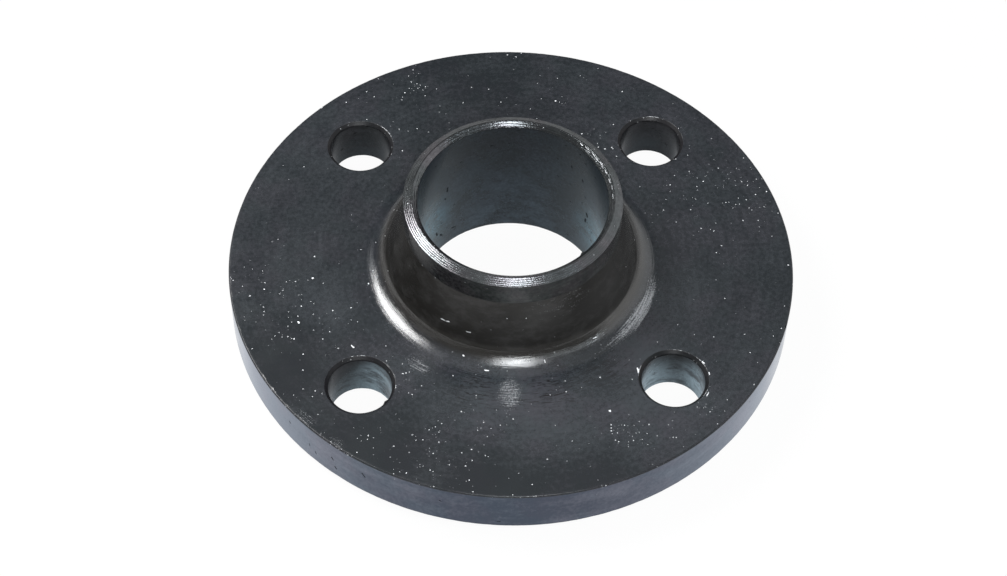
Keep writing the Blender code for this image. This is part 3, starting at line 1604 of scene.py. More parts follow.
@dataclass(frozen=True)
class BoltHoles:
    """The bolt holes, with their edges broken at both faces of the plate.

    Attributes:
        count: How many there are.
        circle_radius: Radius of the bolt circle.
        radius: Radius of each hole.
        back_break: Width and height of the chamfer at the back face.
        front_break: Rounding of the edge at the front face.
        margin: Width of both faces that is turned along with a hole.
        steps: Faces round each hole's axis.
    """

    count: int = 4
    circle_radius: float = 0.0625
    radius: float = 0.009
    back_break: float = 0.001
    front_break: float = 0.0003
    margin: float = 0.0003
    steps: int = 96

    def offset(self) -> float:
        """Each hole's distance from the X and Y centre lines."""
        return self.circle_radius * math.sin(math.pi / self.count)

    def back_mouth(self) -> float:
        """Radius of the opening in the back face."""
        return self.radius + self.back_break + self.margin

    def front_mouth(self) -> float:
        """Radius of the opening in the front face."""
        return self.radius + self.front_break + self.margin

    def outline(self, plate: Plate) -> Outline:
        """The run down one hole's wall.

        Args:
            plate: The plate that is drilled.

        Returns:
            The outline, round the hole's own axis.
        """
        corners = (
            Corner(self.back_mouth(), plate.top, Zone.BACK),
            Corner(self.radius + self.back_break, plate.top, Zone.CHAMFER, 0.00018, Zone.EDGE),
            Corner(self.radius, plate.top - self.back_break, Zone.HOLE, 0.0005),
            Corner(self.radius, plate.bottom, Zone.FRONT, self.front_break, Zone.HOLE),
            Corner(self.front_mouth(), plate.bottom, Zone.FRONT),
        )
        return Outline(corners)


@dataclass(frozen=True)
class Dent:
    """A place where an edge was knocked in, or stands out as a burr.

    Attributes:
        centre: Where it is.
        reach: How far it spreads.
        offset: How far its middle is moved, and which way.
    """

    centre: Point
    reach: float
    offset: Point


@dataclass(frozen=True)
class Flange:
    """The whole forging: plate, bolt holes and neck as one closed skin.

    Attributes:
        plate: The plate.
        holes: The bolt holes.
        neck: The hub, the neck and the sealing face.
        wear_depth: How deep the edges are worn where they are worn most.
        wear_scale: How often that changes, to the metre.
        dents: Where an edge is knocked in or stands out.
    """

    plate: Plate = Plate()
    holes: BoltHoles = BoltHoles()
    neck: Neck = Neck()
    wear_depth: float = 0.00005
    wear_scale: float = 420.0
    dents: tuple[Dent, ...] = (
        Dent((0.0781, -0.0265, 0.0178), 0.0016, (-0.00032, 0.00011, -0.00018)),
        Dent((-0.0370, -0.0497, 0.0174), 0.0012, (-0.00045, 0.00034, 0.0)),
        Dent((0.0504, -0.0524, 0.0176), 0.0012, (0.00028, -0.00036, -0.0002)),
        Dent((0.0187, -0.0198, 0.0449), 0.0012, (-0.00036, 0.00038, 0.0)),
    )

    def build(self, finishes: Finishes) -> bpy.types.Object:
        """Builds the flange and dresses it.

        Args:
            finishes: The material of each zone.

        Returns:
            The finished piece.
        """
        outlines = {
            "Neck Outline": self.neck.outline(self.plate.top).profile("neck_outline"),
            "Rim Outline": self.plate.outline().profile("rim_outline"),
            "Hole Outline": self.holes.outline(self.plate).profile("hole_outline"),
        }
        base = placed("flange_base", bpy.data.meshes.new("flange_base"))
        inputs = self._inputs(outlines, finishes)
        modifier = base.modifiers.new("Turn and drill", "NODES")
        modifier.node_group = self._tree(inputs, list(finishes))
        for socket in modifier.node_group.interface.items_tree:
            if socket.in_out == "INPUT":
                modifier[socket.identifier] = inputs[socket.name][1]
        graph = bpy.context.evaluated_depsgraph_get()
        mesh = bpy.data.meshes.new_from_object(base.evaluated_get(graph))
        for helper in (base, *outlines.values()):
            bpy.data.objects.remove(helper, do_unlink=True)
        return self._settled(mesh)

    def _sizes(self) -> dict[str, float | int]:
        """The tree's number inputs by name."""
        return {
            "Neck Steps": self.neck.steps,
            "Rim Steps": self.plate.steps,
            "Hole Steps": self.holes.steps,
            "Hole Count": self.holes.count,
            "Bolt Circle Radius": self.holes.circle_radius,
            "Back Height": self.plate.top,
            "Front Height": self.plate.bottom,
            "Flat Outer Radius": self.plate.inner(),
            "Back Inner Radius": self.neck.foot(self.plate.top),
            "Front Inner Radius": self.neck.front_foot(),
            "Back Mouth": self.holes.back_mouth(),
            "Front Mouth": self.holes.front_mouth(),
            "Wear Depth": self.wear_depth,
        }

    def _inputs(self, outlines: dict[str, bpy.types.Object], finishes: Finishes) -> Inputs:
        """The tree's inputs.

        Args:
            outlines: The outline helpers, by the name of the input that takes them.
            finishes: The material of each zone.

        Returns:
            Each input's socket type and value, by name.
        """
        inputs: Inputs = {name: ("NodeSocketObject", helper) for name, helper in outlines.items()}
        for name, size in self._sizes().items():
            inputs[name] = (INT if isinstance(size, int) else FLOAT, size)
        for zone, material in finishes.items():
            inputs[self._finish_name(zone)] = ("NodeSocketMaterial", material)
        return inputs

    def _finish_name(self, zone: Zone) -> str:
        """Name of the input that takes the zone's material."""
        return f"{zone.name.title()} Finish"

    def _tree(self, inputs: Inputs, zones: list[Zone]) -> bpy.types.NodeTree:
        """Builds the Geometry Nodes tree of the whole flange.

        Args:
            inputs: Each input's socket type and value, by name.
            zones: The zones.

        Returns:
            The tree.
        """
        tree = bpy.data.node_groups.new("turned_and_drilled_flange", "GeometryNodeTree")
        tree.interface.new_socket("Geometry", in_out="OUTPUT", socket_type=GEOMETRY)
        for name, (kind, _) in inputs.items():
            tree.interface.new_socket(name, in_out="INPUT", socket_type=kind)
        work = NodeWork(tree)
        taken = {socket.name: socket for socket in tree.nodes.new("NodeGroupInput").outputs if socket.name}
        shape = self._skins(work, taken)
        shape = self._worn(work, shape, taken)
        shape = work.made("GeometryNodeRealizeInstances", {"Geometry": shape})
        for zone in zones:
            shape = self._finished(work, shape, zone, taken[self._finish_name(zone)])
        end = tree.nodes.new("NodeGroupOutput")
        work.feed(end.inputs["Geometry"], shape)
        return tree

    def _skins(self, work: NodeWork, taken: Sockets) -> Any:
        """Joins the turned skins, the bolt holes and the two drilled faces.

        Args:
            work: The tree.
            taken: The tree's inputs by name.

        Returns:
            The closed shape.
        """
        skin, ring = TurnedSkin(), DrilledRing()
        circle = {"Count": taken["Hole Count"], "Circle_Radius": taken["Bolt Circle Radius"]}
        points = HolePoints().place(work, **circle)["Points"]
        neck, rim, wall = (self._skin(work, skin, taken, name) for name in ("Neck", "Rim", "Hole"))
        walls = work.made("GeometryNodeInstanceOnPoints", {"Points": points, "Instance": wall})
        realized = work.made("GeometryNodeRealizeInstances", {"Geometry": walls})
        shared = {
            "Outer_Radius": taken["Flat Outer Radius"],
            "Outer_Steps": taken["Rim Steps"],
            "Inner_Steps": taken["Neck Steps"],
            "Hole_Steps": taken["Hole Steps"],
            "Hole_Points": points,
        }
        back, front = (
            ring.place(
                work,
                Inner_Radius=taken[f"{name} Inner Radius"],
                Hole_Radius=taken[f"{name} Mouth"],
                Height=taken[f"{name} Height"],
                Zone=zone.value,
                **shared,
            )["Ring"]
            for name, zone in (("Back", Zone.BACK), ("Front", Zone.FRONT))
        )
        turned_over = work.made("GeometryNodeFlipFaces", {"Mesh": front})
        whole = work.add("GeometryNodeJoinGeometry")
        for shape in (neck, rim, realized, back, turned_over):
            work.feed(whole.inputs[0], shape)
        return work.made("GeometryNodeMergeByDistance", {"Geometry": work.out(whole), "Distance": MERGE})

    def _skin(self, work: NodeWork, skin: TurnedSkin, taken: Sockets, name: str) -> Any:
        """Turns one outline round its axis.

        Args:
            work: The tree.
            skin: The group that turns it.
            taken: The tree's inputs by name.
            name: First word of the two inputs that the outline and its steps come from.

        Returns:
            The skin.
        """
        outline = work.made("GeometryNodeObjectInfo", {"Object": taken[f"{name} Outline"]}, "Geometry")
        return skin.place(work, Outline=outline, Steps=taken[f"{name} Steps"])["Skin"]

    def _worn(self, work: NodeWork, shape: Any, taken: Sockets) -> Any:
        """Rubs the edges down unevenly and dents them.

        Args:
            work: The tree.
            shape: The closed shape.
            taken: The tree's inputs by name.

        Returns:
            The worn shape.
        """
        uneven = work.ramp(work.noise(work.here(), self.wear_scale, 3.0, 0.6), 0.42, 0.75)
        depth = work.times(work.times(work.named("worn"), uneven), taken["Wear Depth"])
        inward = work.scaled(work.made("GeometryNodeInputNormal"), work.times(depth, -1.0))
        shape = work.made("GeometryNodeSetPosition", {"Geometry": shape, "Offset": inward})
        push = Push()
        for dent in self.dents:
            feeds = {"Geometry": shape, "Centre": dent.centre, "Reach": dent.reach, "Offset": dent.offset}
            shape = push.place(work, **feeds)["Geometry"]
        return shape

    def _finished(self, work: NodeWork, shape: Any, zone: Zone, material: Any) -> Any:
        """Gives one zone its material.

        Args:
            work: The tree.
            shape: The shape so far.
            zone: The zone.
            material: The tree's input for its material.

        Returns:
            The shape with that zone dressed.
        """
        feeds = {"A": work.named("zone", "INT"), "B": zone.value}
        here = work.made("FunctionNodeCompare", feeds, data_type="INT", operation="EQUAL")
        feeds = {"Geometry": shape, "Selection": here, "Material": material}
        return work.made("GeometryNodeSetMaterial", feeds)

    def _settled(self, mesh: bpy.types.Mesh) -> bpy.types.Object:
        """Makes the evaluated mesh a finished piece.

        Args:
            mesh: The plain mesh.

        Returns:
            The piece, closed, facing outwards and smooth but for its sharp edges.
        """
        shape = bmesh.new()
        shape.from_mesh(mesh)
        open_edges = sum(not edge.is_manifold for edge in shape.edges)
        bmesh.ops.recalc_face_normals(shape, faces=shape.faces)
        shape.to_mesh(mesh)
        shape.free()
        for name in ("zone", "worn"):
            if name in mesh.attributes:
                mesh.attributes.remove(mesh.attributes[name])
        mesh.shade_smooth()
        mesh.set_sharp_from_angle(angle=SHARP_ANGLE)
        mesh.name = "flange_dressed"
        piece = placed("flange_dressed", mesh)
        log.info("flange_dressed: %d faces, %d open edges", len(mesh.polygons), open_edges)
        return piece


# Studio


@dataclass(frozen=True)
class Lamp:
    """A flat lamp that faces the flange.

    Attributes:
        name: The lamp's name.
        bearing: Degrees clockwise from straight behind the flange, seen from above.
        elevation: Degrees above the floor.
        wide: Degrees that it spans from side to side.
        high: Degrees that it spans from bottom to top.
        radiance: Brightness of its face, where 1 is white.
        colour: Tint.
    """

    name: str
    bearing: float
    elevation: float
    wide: float
    high: float
    radiance: float
    colour: Colour = (1.0, 1.0, 1.0)

    def towards(self) -> Vector:
        """Direction from the flange to the lamp, in the camera's own heading."""
        turn, rise = math.radians(self.bearing), math.radians(self.elevation)
        return Vector((math.sin(turn) * math.cos(rise), math.cos(turn) * math.cos(rise), math.sin(rise)))


@dataclass(frozen=True)
class Studio:
    """A white floor, a pale surround, soft lamps and the camera.

    Attributes:
        aim: Point on the camera's axis, at the height of the plate's back face.
        distance: From the camera to that point.
        heading: Degrees that the camera is turned from +Y.
        elevation: Degrees that it looks down.
        roll: Degrees that it leans.
        lens: Focal length in millimetres on a 36 mm sensor.
        reach: Distance of the lamps.
        floor_size: Side of the floor.
        floor_glow: Share of the floor's look that is plain white, where the rest is lit and shadowed.
        backdrop: Height of the white backdrop along the floor's sides.
        ceiling: Brightness of the surround overhead.
        dim: Brightness of the surround between the horizon and overhead.
        horizon: Brightness of the surround at the horizon.
        wall: Brightness of the pale wall on the right.
        wall_bearing: Bearing of the pale wall on the right.
        wall_sides: Degrees to either side of it at which it starts and is full.
        wall_tops: Elevations at which it starts and is full.
        horizon_tops: Elevations at which the horizon's brightness starts and is full.
        ceiling_foot: Elevations at which the ceiling's starts and is full.
        aim_height: Height that the lamps face.
        lamps: The lamps.
    """

    aim: Point = (-0.002676, -0.011096, 0.018)
    distance: float = 0.66552
    heading: float = 3.29
    elevation: float = 52.67
    roll: float = 1.55
    lens: float = 82.06
    reach: float = 1.0
    floor_size: float = 12.0
    floor_glow: float = 0.95
    backdrop: float = 0.7
    ceiling: float = 0.4
    dim: float = 0.1
    horizon: float = 0.3
    wall: float = 0.92
    wall_bearing: float = math.radians(69)
    wall_sides: tuple[float, float] = (44.0, 32.0)
    wall_tops: tuple[float, float] = (54.0, 42.0)
    horizon_tops: tuple[float, float] = (12.0, 4.0)
    ceiling_foot: tuple[float, float] = (42.0, 66.0)
    aim_height: float = 0.02
    lamps: tuple[Lamp, ...] = (
        Lamp("front_lamp", 174.0, 53.0, 15.0, 28.0, 16.0, (0.95, 0.98, 1.0)),
        Lamp("left_lamp", -70.0, 50.0, 28.0, 24.0, 15.0, (1.0, 0.995, 0.99)),
        Lamp("left_edge", -45.0, 41.0, 14.0, 9.0, 1.6, (0.95, 0.98, 1.0)),
        Lamp("side_spot", 111.0, 36.0, 2.2, 2.2, 45.0, (0.85, 0.95, 1.0)),
        Lamp("side_glow", 134.0, 41.0, 32.0, 9.0, 1.8, (0.88, 0.95, 1.0)),
    )

    def build(self) -> None:
        """Builds the floor, the surround, the lamps and the camera."""
        self._floor()
        self._surround()
        for lamp in self.lamps:
            self._lamp(lamp)
        self._camera()
        log.info("studio: %d lamps", len(self.lamps))

    def _floor(self) -> None:
        """Lays a white floor with a low backdrop, which still takes the flange's shadow."""
        half = self.floor_size / 2
        corners = ((-half, -half), (half, -half), (half, half), (-half, half))
        points = [(x, y, height) for height in (0.0, self.backdrop) for x, y in corners]
        sides = [(index, index + 4, (index + 1) % 4 + 4, (index + 1) % 4) for index in range(4)]
        mesh = bpy.data.meshes.new("floor")
        mesh.from_pydata(points, [], [(0, 1, 2, 3), *sides])
        floor = placed("floor", mesh)
        material, shader = lit("white_floor")
        work = NodeWork(material.node_tree)
        shader.inputs["Base Color"].default_value = (0.8, 0.8, 0.8, 1.0)
        shader.inputs["Roughness"].default_value = 1.0
        shader.inputs["Specular IOR Level"].default_value = 0.0
        path = work.add("ShaderNodeLightPath")
        seen = work.most(path.outputs["Is Camera Ray"], path.outputs["Is Glossy Ray"])
        seen = work.most(seen, path.outputs["Is Transmission Ray"])
        glow = work.made("ShaderNodeEmission", {"Color": (1.0, 1.0, 1.0, 1.0), "Strength": 1.0})
        feeds = {0: work.times(seen, self.floor_glow), 1: shader.outputs[0], 2: glow}
        mixed = work.made("ShaderNodeMixShader", feeds)
        work.feed(material.node_tree.nodes["Material Output"].inputs["Surface"], mixed)
        mesh.materials.append(material)

    def _surround(self) -> None:
        """Sets a surround that is white at the horizon, pale on the right and dim elsewhere."""
        world = bpy.data.worlds.new("surround")
        bpy.context.scene.world = world
        world.use_nodes = True
        work = NodeWork(world.node_tree)
        background = world.node_tree.nodes["Background"]
        heading = work.add("ShaderNodeTexCoord").outputs["Generated"]
        _, _, up = work.split(heading)
        to_wall = self._turn() @ Vector((math.sin(self.wall_bearing), math.cos(self.wall_bearing), 0.0))
        level = work.math("POWER", work.minus(1.0, work.times(up, up)), 0.5)
        facing = work.over(work.dot(heading, tuple(to_wall)), level)
        beside = work.ramp(facing, *(math.cos(math.radians(side)) for side in self.wall_sides))
        low = work.ramp(up, *self._rises(self.wall_tops), 0.0, self.wall)
        wall = work.times(beside, low)
        horizon = work.ramp(up, *self._rises(self.horizon_tops), 0.0, self.horizon)
        overhead = work.ramp(up, *self._rises(self.ceiling_foot), self.dim, self.ceiling)
        shade = work.most(work.most(wall, horizon), overhead)
        work.feed(background.inputs["Color"], work.joined(shade, shade, shade))
        background.inputs["Strength"].default_value = 1.0

    def _rises(self, elevations: tuple[float, float]) -> tuple[float, ...]:
        """Two elevations in degrees as the upward part of a direction."""
        return tuple(math.sin(math.radians(elevation)) for elevation in elevations)

    def _turn(self) -> Matrix:
        """The turn about Z from the camera's own heading to the frame."""
        return Matrix.Rotation(-math.radians(self.heading), 3, "Z")

    def _lamp(self, lamp: Lamp) -> None:
        """Hangs one lamp.

        Args:
            lamp: The lamp.
        """
        width = 2 * self.reach * math.tan(math.radians(lamp.wide) / 2)
        length = 2 * self.reach * math.tan(math.radians(lamp.high) / 2)
        data = bpy.data.lights.new(lamp.name, "AREA")
        data.shape = "RECTANGLE"
        data.size = width
        data.size_y = length
        data.energy = lamp.radiance * math.pi * width * length
        data.color = lamp.colour
        towards = self._turn() @ lamp.towards()
        across = Vector((0.0, 0.0, 1.0)).cross(towards).normalized()
        face = Matrix((across, towards.cross(across), towards)).transposed().to_4x4()
        place = Vector((0.0, 0.0, self.aim_height)) + towards * self.reach
        placed(lamp.name, data).matrix_world = Matrix.Translation(place) @ face

    def _camera(self) -> None:
        """Stands the camera where the photograph was taken from."""
        down = math.radians(self.elevation)
        lean = math.radians(self.roll)
        forward = self._turn() @ Vector((0.0, math.cos(down), -math.sin(down)))
        level = self._turn() @ Vector((1.0, 0.0, 0.0))
        upright = level.cross(forward)
        right = level * math.cos(lean) + upright * math.sin(lean)
        up = right.cross(forward)
        data = bpy.data.cameras.new("camera")
        data.sensor_width = 36.0
        data.lens = self.lens
        data.clip_start = 0.01
        camera = placed("camera", data)
        place = Vector(self.aim) - forward * self.distance
        turned = Matrix((right, up, -forward)).transposed().to_4x4()
        camera.matrix_world = Matrix.Translation(place) @ turned
        bpy.context.scene.camera = camera


# Finish of each zone


FLECKED = spots(
    (-172, 0.077, 0.022, 0.33), (-155, 0.064, 0.020, 0.22), (-140, 0.078, 0.018, 0.16),
    (-127, 0.053, 0.012, 0.27), (-120, 0.077, 0.018, 0.30), (-108, 0.070, 0.018, 0.30),
    (-98, 0.052, 0.014, 0.30), (-64, 0.070, 0.011, 0.55), (-50, 0.074, 0.014, 0.30),
    (22, 0.066, 0.024, 0.32), (55, 0.049, 0.016, 0.30), (113, 0.075, 0.010, 0.50),
    (14, 0.078, 0.014, 0.35),
)
# Rubbed smears on the plate at -137, -129 and -126 degrees. The patch at -92.6 degrees is a painted
# reflection of the neck's highlight on the plate, and the swath at -31 degrees along the fillet is a painted
# highlight of a lamp.
RUBS_AND_PAINTED_HIGHLIGHTS = spots(
    (-136.8, 0.0808, 0.0032, 0.74, 0.018, 6.0), (-128.6, 0.0808, 0.0026, 0.66, 0.018, 4.0),
    (-126.0, 0.0468, 0.0046, 0.74, 0.018, 11.0), (-92.6, 0.0482, 0.0110, 0.78, 0.018, 8.5),
    (-31.0, 0.0421, 0.0037, 1.02, 0.018, 37.0),
)
# A lighter streaky band on the cone's front right: painted reflection, laid on like rubbed ridges.
HUB_PAINTED_REFLECTION_STREAK = spots((-66, 0.0321, 0.0030, 0.51, 0.018, 38.0))
SCORED = spots(
    (-106, 0.0480, 0.011, 1.15), (-92, 0.0500, 0.009, 0.6), (-78, 0.0480, 0.012, 1.15),
    (-60, 0.0480, 0.012, 0.9), (-40, 0.0480, 0.012, 0.2),
)
TONED = spots(
    (-90, 0.052, 0.032, 0.6), (-55, 0.068, 0.026, 0.4), (-20, 0.050, 0.020, 0.3),
    (-44, 0.050, 0.016, 0.7), (-163, 0.057, 0.015, 0.35), (-128, 0.055, 0.014, 0.3),
    (-150, 0.077, 0.028, -0.55), (-122, 0.079, 0.026, -0.6), (-95, 0.079, 0.026, -0.65),
    (-75, 0.081, 0.016, -0.5), (-15, 0.080, 0.026, -0.2), (95, 0.072, 0.040, -0.25),
)
# Lighter places on the cone: painted reflections of the lamps, spread along the turning marks.
HUB_PAINTED_REFLECTIONS = spots(
    (-92, 0.0340, 0.020, 0.35, 0.031), (-122, 0.0325, 0.014, 0.35, 0.035),
    (-75, 0.0325, 0.012, 0.45, 0.034), (-30, 0.0335, 0.020, 0.58, 0.030),
    (-58, 0.0345, 0.015, 0.32, 0.027), (5, 0.0340, 0.022, 0.42, 0.028),
    (165, 0.0325, 0.016, 0.20, 0.035),
)
EDGE_BARED = spots(
    (-160, 0.0823, 0.026, 0.04), (-142, 0.0823, 0.020, 0.06), (-128, 0.0823, 0.012, 0.10),
    (-110, 0.0823, 0.020, 0.04), (-90, 0.0823, 0.020, 0.06), (-49.8, 0.0537, 0.004, 0.35),
    (-142, 0.0565, 0.005, 0.25), (-36, 0.0655, 0.005, 0.30), (-43.0, 0.0729, 0.004, 0.30),
    (-37.5, 0.0575, 0.006, 0.25), (49.6, 0.0717, 0.006, 0.25), (125.8, 0.0617, 0.008, 0.25),
)
# Painted reflection of the floor on the rim: lighter at -178, -148 and -35 degrees, darker at -92.
RIM_PAINTED_REFLECTIONS = spots(
    (-178, 0.0825, 0.040, 0.75, 0.01), (-148, 0.0825, 0.045, 0.75, 0.01),
    (-35, 0.0825, 0.045, 0.4, 0.01), (-92, 0.0825, 0.040, -0.35, 0.01),
)
BACK_SCRATCHES_AND_GLINTS = strokes(
    (-21.0, -27.7, 26.2, -20.0, -28.7, 26.3, 0.34),
    (-20.0, -28.7, 26.3, -18.8, -29.2, 26.6, 0.38),
    (-14.0, -32.1, 25.7, -12.9, -32.5, 25.8, 0.3),
    (-9.0, -40.3, 18.2, -8.0, -40.5, 18.3, 0.4),
    (-15.0, -35.8, 19.4, -14.8, -35.9, 19.3, 0.5),
    (-41.8, -8.5, 18.0, -41.7, -8.7, 18.0, 0.4),
    (25.4, -54.8, 18.0, 25.5, -54.9, 18.0, 0.8),
    (-61.9, -21.9, 18.0, -61.6, -22.3, 18.0, 0.5),
    (-46.6, -30.6, 18.0, -46.0, -31.3, 18.0, 0.5),
    (34.2, -40.5, 18.0, 34.4, -42.0, 18.0, 0.6),
    (52.8, -38.6, 18.0, 53.2, -39.2, 18.0, 0.4),
    (54.3, -42.4, 18.0, 54.4, -43.2, 18.0, 0.3),
    (53.6, -49.3, 18.0, 52.9, -50.4, 18.0, 0.3),
    (-34.2, -44.8, 18.0, -34.3, -45.6, 18.0, 0.4),
    # The last two bright strokes, on the fillet, are painted glints.
    (22.1, -31.1, 19.9, 23.1, -30.6, 19.7, 0.3),
    (7.9, -38.0, 19.4, 8.1, -38.6, 19.0, 0.26),
)
# Neck band: painted reflection of the front lamp, lighter at the front and right, and painted shade on the
# left at -165 degrees.
BAND_PAINTED_LIGHT_AND_SHADE = spots(
    (-165, 0.0312, 0.030, -0.45, 0.039), (-85, 0.0312, 0.020, 0.42, 0.039),
    (-45, 0.0312, 0.022, 0.38, 0.039), (0, 0.0312, 0.022, 0.35, 0.039), (40, 0.0312, 0.022, 0.35, 0.039),
)
RIM_STROKES = strokes(
    (-58.5, -58.1, 9.6, -58.4, -58.2, 8.8, 0.5),
    (-56.9, -59.7, 7.9, -56.7, -59.9, 7.1, 0.5),
    (-52.2, -63.9, 11.3, -51.8, -64.2, 10.4, 0.6),
    (-51.4, -64.5, 7.5, -51.1, -64.8, 6.7, 0.6),
    (-43.7, -70.0, 12.1, -43.0, -70.4, 10.9, 0.6),
    (-64.0, -52.0, 12.0, -63.9, -52.2, 11.2, 0.5),
    (-22.6, -79.3, 12.4, -22.2, -79.5, 12.0, 0.5),
    bright=False,
)
# Bright glints along the weld end's inner chamfer on the right: painted glints of reflected light.
BEVEL_PAINTED_GLINTS = strokes(
    (20.2, 19.8, 45.75, 20.8, 19.1, 45.65, 0.26),
    (21.6, 18.4, 45.8, 22.5, 17.2, 45.75, 0.18),
    (21.9, 17.4, 45.45, 22.8, 16.3, 45.5, 0.15),
    (23.4, 16.1, 45.8, 24.1, 14.8, 45.75, 0.18),
    (24.1, 14.5, 45.55, 24.9, 13.2, 45.6, 0.18),
    (25.4, 12.6, 45.8, 26.0, 11.3, 45.8, 0.18),
    (25.7, 11.4, 45.55, 26.2, 10.3, 45.6, 0.15),
    (26.7, 9.4, 45.75, 27.2, 8.1, 45.8, 0.18),
    (27.6, 6.1, 45.7, 27.9, 4.7, 45.75, 0.18),
    (28.2, 3.5, 45.85, 28.3, 2.2, 45.85, 0.16),
    (28.3, 0.5, 45.75, 28.3, -1.0, 45.75, 0.18),
)
BORE_STROKES = strokes(
    (18.1, 20.4, 35.0, 18.3, 20.2, 34.4, 0.7),
    (21.3, 17.1, 32.5, 21.4, 16.9, 31.9, 0.7),
    (22.9, 14.8, 19.7, 23.1, 14.5, 18.6, 1.0),
    (22.7, 15.0, 16.6, 22.6, 15.2, 15.6, 1.2),
    (22.2, 15.8, 26.3, 22.5, 15.4, 25.9, 0.6),
    (-18.2, 20.3, 26.0, -18.3, 20.2, 24.7, 1.0),
    (-19.0, 19.5, 22.0, -18.8, 19.7, 21.5, 0.7),
    (-21.7, 16.5, 9.4, -21.5, 16.8, 8.2, 1.0),
    (-20.5, 17.9, 7.0, -20.0, 18.5, 6.0, 0.9),
    (-17.0, 21.3, 6.0, -16.0, 22.1, 5.6, 0.7),
    bright=False,
)

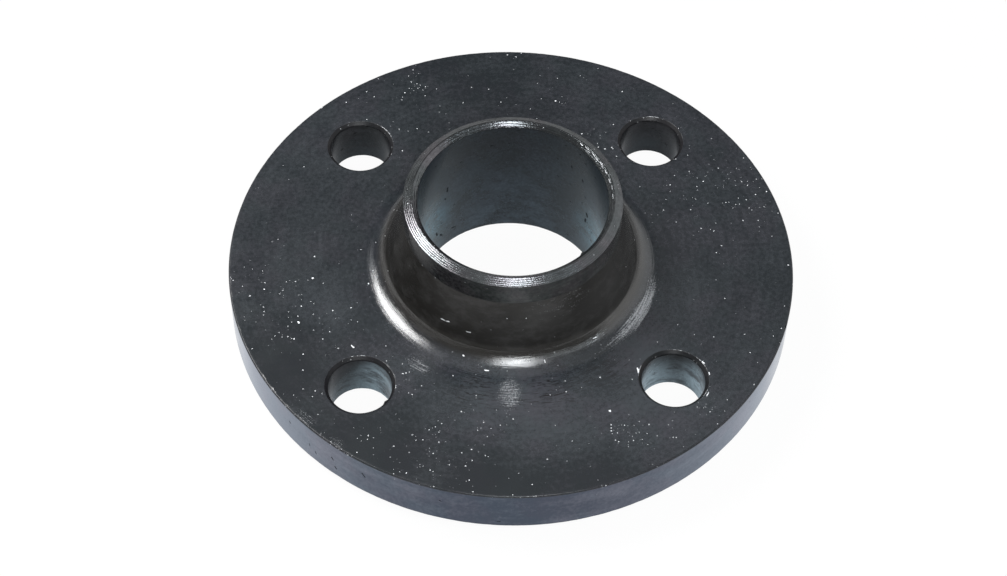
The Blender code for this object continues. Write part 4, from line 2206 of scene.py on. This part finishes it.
BACK = BackLacquer(
    "back_lacquer",
    (0.009, 0.012, 0.015),
    (0.038, 0.042, 0.049),
    0.2,
    mark_depth=0.000010,
    grain_depth=0.000008,
    grain_size=0.00045,
    mottle=0.55,
    haze=0.03,
    chips=0.045,
    toned=TONED,
    strokes=BACK_SCRATCHES_AND_GLINTS,
    flecked=FLECKED,
    rubbed=RUBS_AND_PAINTED_HIGHLIGHTS,
    scored=SCORED,
)
FINISHES: dict[Zone, Lacquer] = {
    Zone.BACK: BACK,
    Zone.FILLET: replace(
        BACK,
        name="fillet_lacquer",
        roughness=0.15,
        pitch=0.0005,
        drift=4.0,
        mark_depth=0.000055,
        grain_depth=0.000022,
        grain_size=0.0004,
    ),
    Zone.CONE: replace(
        BACK,
        name="cone_lacquer",
        roughness=0.24,
        metallic=0.4,
        ior=1.33,
        tint=(0.3, 0.3, 0.3),
        hub_toned=HUB_PAINTED_REFLECTIONS,
        cut=Cut.TURNED,
        pitch=0.0005,
        mark_depth=0.000014,
        chips=0.02,
        flecked=(),
        rubbed=HUB_PAINTED_REFLECTION_STREAK,
        scored=(),
        hub_to=0.0186,
    ),
    Zone.RIM: Lacquer(
        "rim_lacquer",
        (0.052, 0.062, 0.086),
        # The faded colour is also the pale painted reflection of the floor in the rim's toned places.
        (0.160, 0.170, 0.206),
        0.16,
        metallic=1.0,
        tint=(0.9, 0.94, 1.0),
        cool=(0.94, 1.0, 1.0),
        warm=(1.04, 1.0, 1.0),
        cut=Cut.TURNED,
        pitch=0.0007,
        drift=6.0,
        mark_depth=0.000008,
        grain_depth=0.000006,
        mark_tone=0.25,
        mottle=0.3,
        haze=0.03,
        chips=0.01,
        pits=0.05,
        pit_girth=0.03,
        toned=RIM_PAINTED_REFLECTIONS,
        strokes=RIM_STROKES,
    ),
    Zone.EDGE: WornEdge(
        "worn_edge", (0.014, 0.016, 0.019), (0.034, 0.036, 0.04), 0.35, ior=1.36, chips=0.15, bare_and_sheen=EDGE_BARED
    ),
    Zone.CHAMFER: Lacquer(
        "chamfer_lacquer",
        (0.006, 0.006, 0.007),
        (0.019, 0.020, 0.022),
        0.4,
        ior=1.33,
        mark_depth=0.00002,
        chips=0.32,
    ),
    Zone.BAND: Lacquer(
        "neck_lacquer",
        (0.005, 0.006, 0.007),
        (0.078, 0.079, 0.079),
        0.22,
        metallic=0.3,
        ior=1.25,
        tint=(0.25, 0.25, 0.25),
        cut=Cut.TURNED,
        mark_depth=0.000012,
        mottle=0.3,
        chips=0.015,
        toned=BAND_PAINTED_LIGHT_AND_SHADE,
    ),
    Zone.BEVEL: Lacquer(
        "bevel_lacquer",
        (0.092, 0.095, 0.100),
        (0.160, 0.165, 0.171),
        0.15,
        metallic=0.85,
        ior=1.5,
        tint=(0.5, 0.5, 0.5),
        cut=Cut.TAPERED,
        pitch=0.0005,
        drift=5.0,
        thread=0.2,
        mark_depth=0.00007,
        grain_depth=0.000055,
        grain_size=0.00045,
        mottle=0.6,
        chips=0.35,
        # Painted shade on the far side of the bevel, at 90 degrees, and painted reflection at the front left,
        # at -150 degrees.
        toned=spots((90, 0.0295, 0.030, -0.5, 0.0455), (-150, 0.0295, 0.018, 0.25, 0.0455)),
        strokes=BEVEL_PAINTED_GLINTS,
    ),
    Zone.BORE: BoredLacquer(
        "bore_lacquer",
        (0.005, 0.007, 0.011),
        (0.012, 0.016, 0.021),
        0.3,
        metallic=0.4,
        ior=1.36,
        tint=(0.78, 0.9, 0.96),
        cut=Cut.TURNED,
        drift=5.0,
        mark_depth=0.000008,
        mark_tone=0.6,
        grain_size=0.0003,
        mottle=0.65,
        chips=0.0,
        pits=0.12,
        # deep: lighter, bluer foot, painted floor light over bluish steel. sheen and the spots that carry it:
        # painted reflections of the floor on the lower left and right walls.
        deep=(0.027, 0.037, 0.048),
        sheen=(0.068, 0.155, 0.205),
        bare_and_sheen=spots((156, 0.02725, 0.016, 0.9, 0.014), (18, 0.02725, 0.015, 0.85, 0.014)),
        strokes=BORE_STROKES,
    ),
    Zone.HOLE: DrilledLacquer(
        "drilled_lacquer",
        (0.010, 0.011, 0.012),
        (0.022, 0.024, 0.027),
        0.28,
        metallic=0.5,
        ior=1.28,
        tint=(0.6, 0.62, 0.65),
        cut=Cut.TURNED,
        pitch=0.0005,
        drift=1.4,
        mark_depth=0.00001,
        mark_tone=0.8,
        mottle=0.3,
        chips=0.0,
        pits=0.12,
        pit_girth=0.004,
        # deep: painted floor light at the foot over bluish steel. sheen and its spots: painted reflections on
        # the front holes' walls.
        deep=(0.022, 0.027, 0.031),
        sheen=(0.36, 0.48, 0.55),
        deep_from=0.017,
        bare_and_sheen=spots(
            (-132.4, 0.0541, 0.018, 0.66, 0.003),
            (-47.6, 0.0541, 0.018, 0.66, 0.003),
            (-39.0, 0.0690, 0.013, 0.66, 0.003),
            (-141.5, 0.0690, 0.012, 0.2, 0.004),
            (-135.2, 0.0534, 0.0095, 0.45, 0.011),
            (-46.9, 0.0537, 0.0080, 0.30, 0.010),
            (-37.5, 0.0662, 0.0095, 0.50, 0.011),
        ),
    ),
    Zone.FRONT: Lacquer("front_lacquer", (0.012, 0.014, 0.017), (0.030, 0.033, 0.038), 0.25),
    Zone.SEALING: Lacquer("sealing_lacquer", (0.012, 0.014, 0.017), (0.030, 0.033, 0.038), 0.22, chips=0.01),
}


def main() -> None:
    """Builds the flange and the studio."""
    logging.basicConfig(level=logging.INFO, format="%(message)s")
    flange = Flange()
    kit = ShaderKit()
    offset = flange.holes.offset()
    materials = {zone: finish.material(kit, offset) for zone, finish in FINISHES.items()}
    piece = flange.build(materials)
    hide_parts(CAD_NODE)
    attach(piece, BODY)
    Studio().build()
    scene = bpy.context.scene
    scene.view_settings.view_transform = "Standard"
    bpy.context.view_layer.update()


if __name__ == "__main__":
    main()
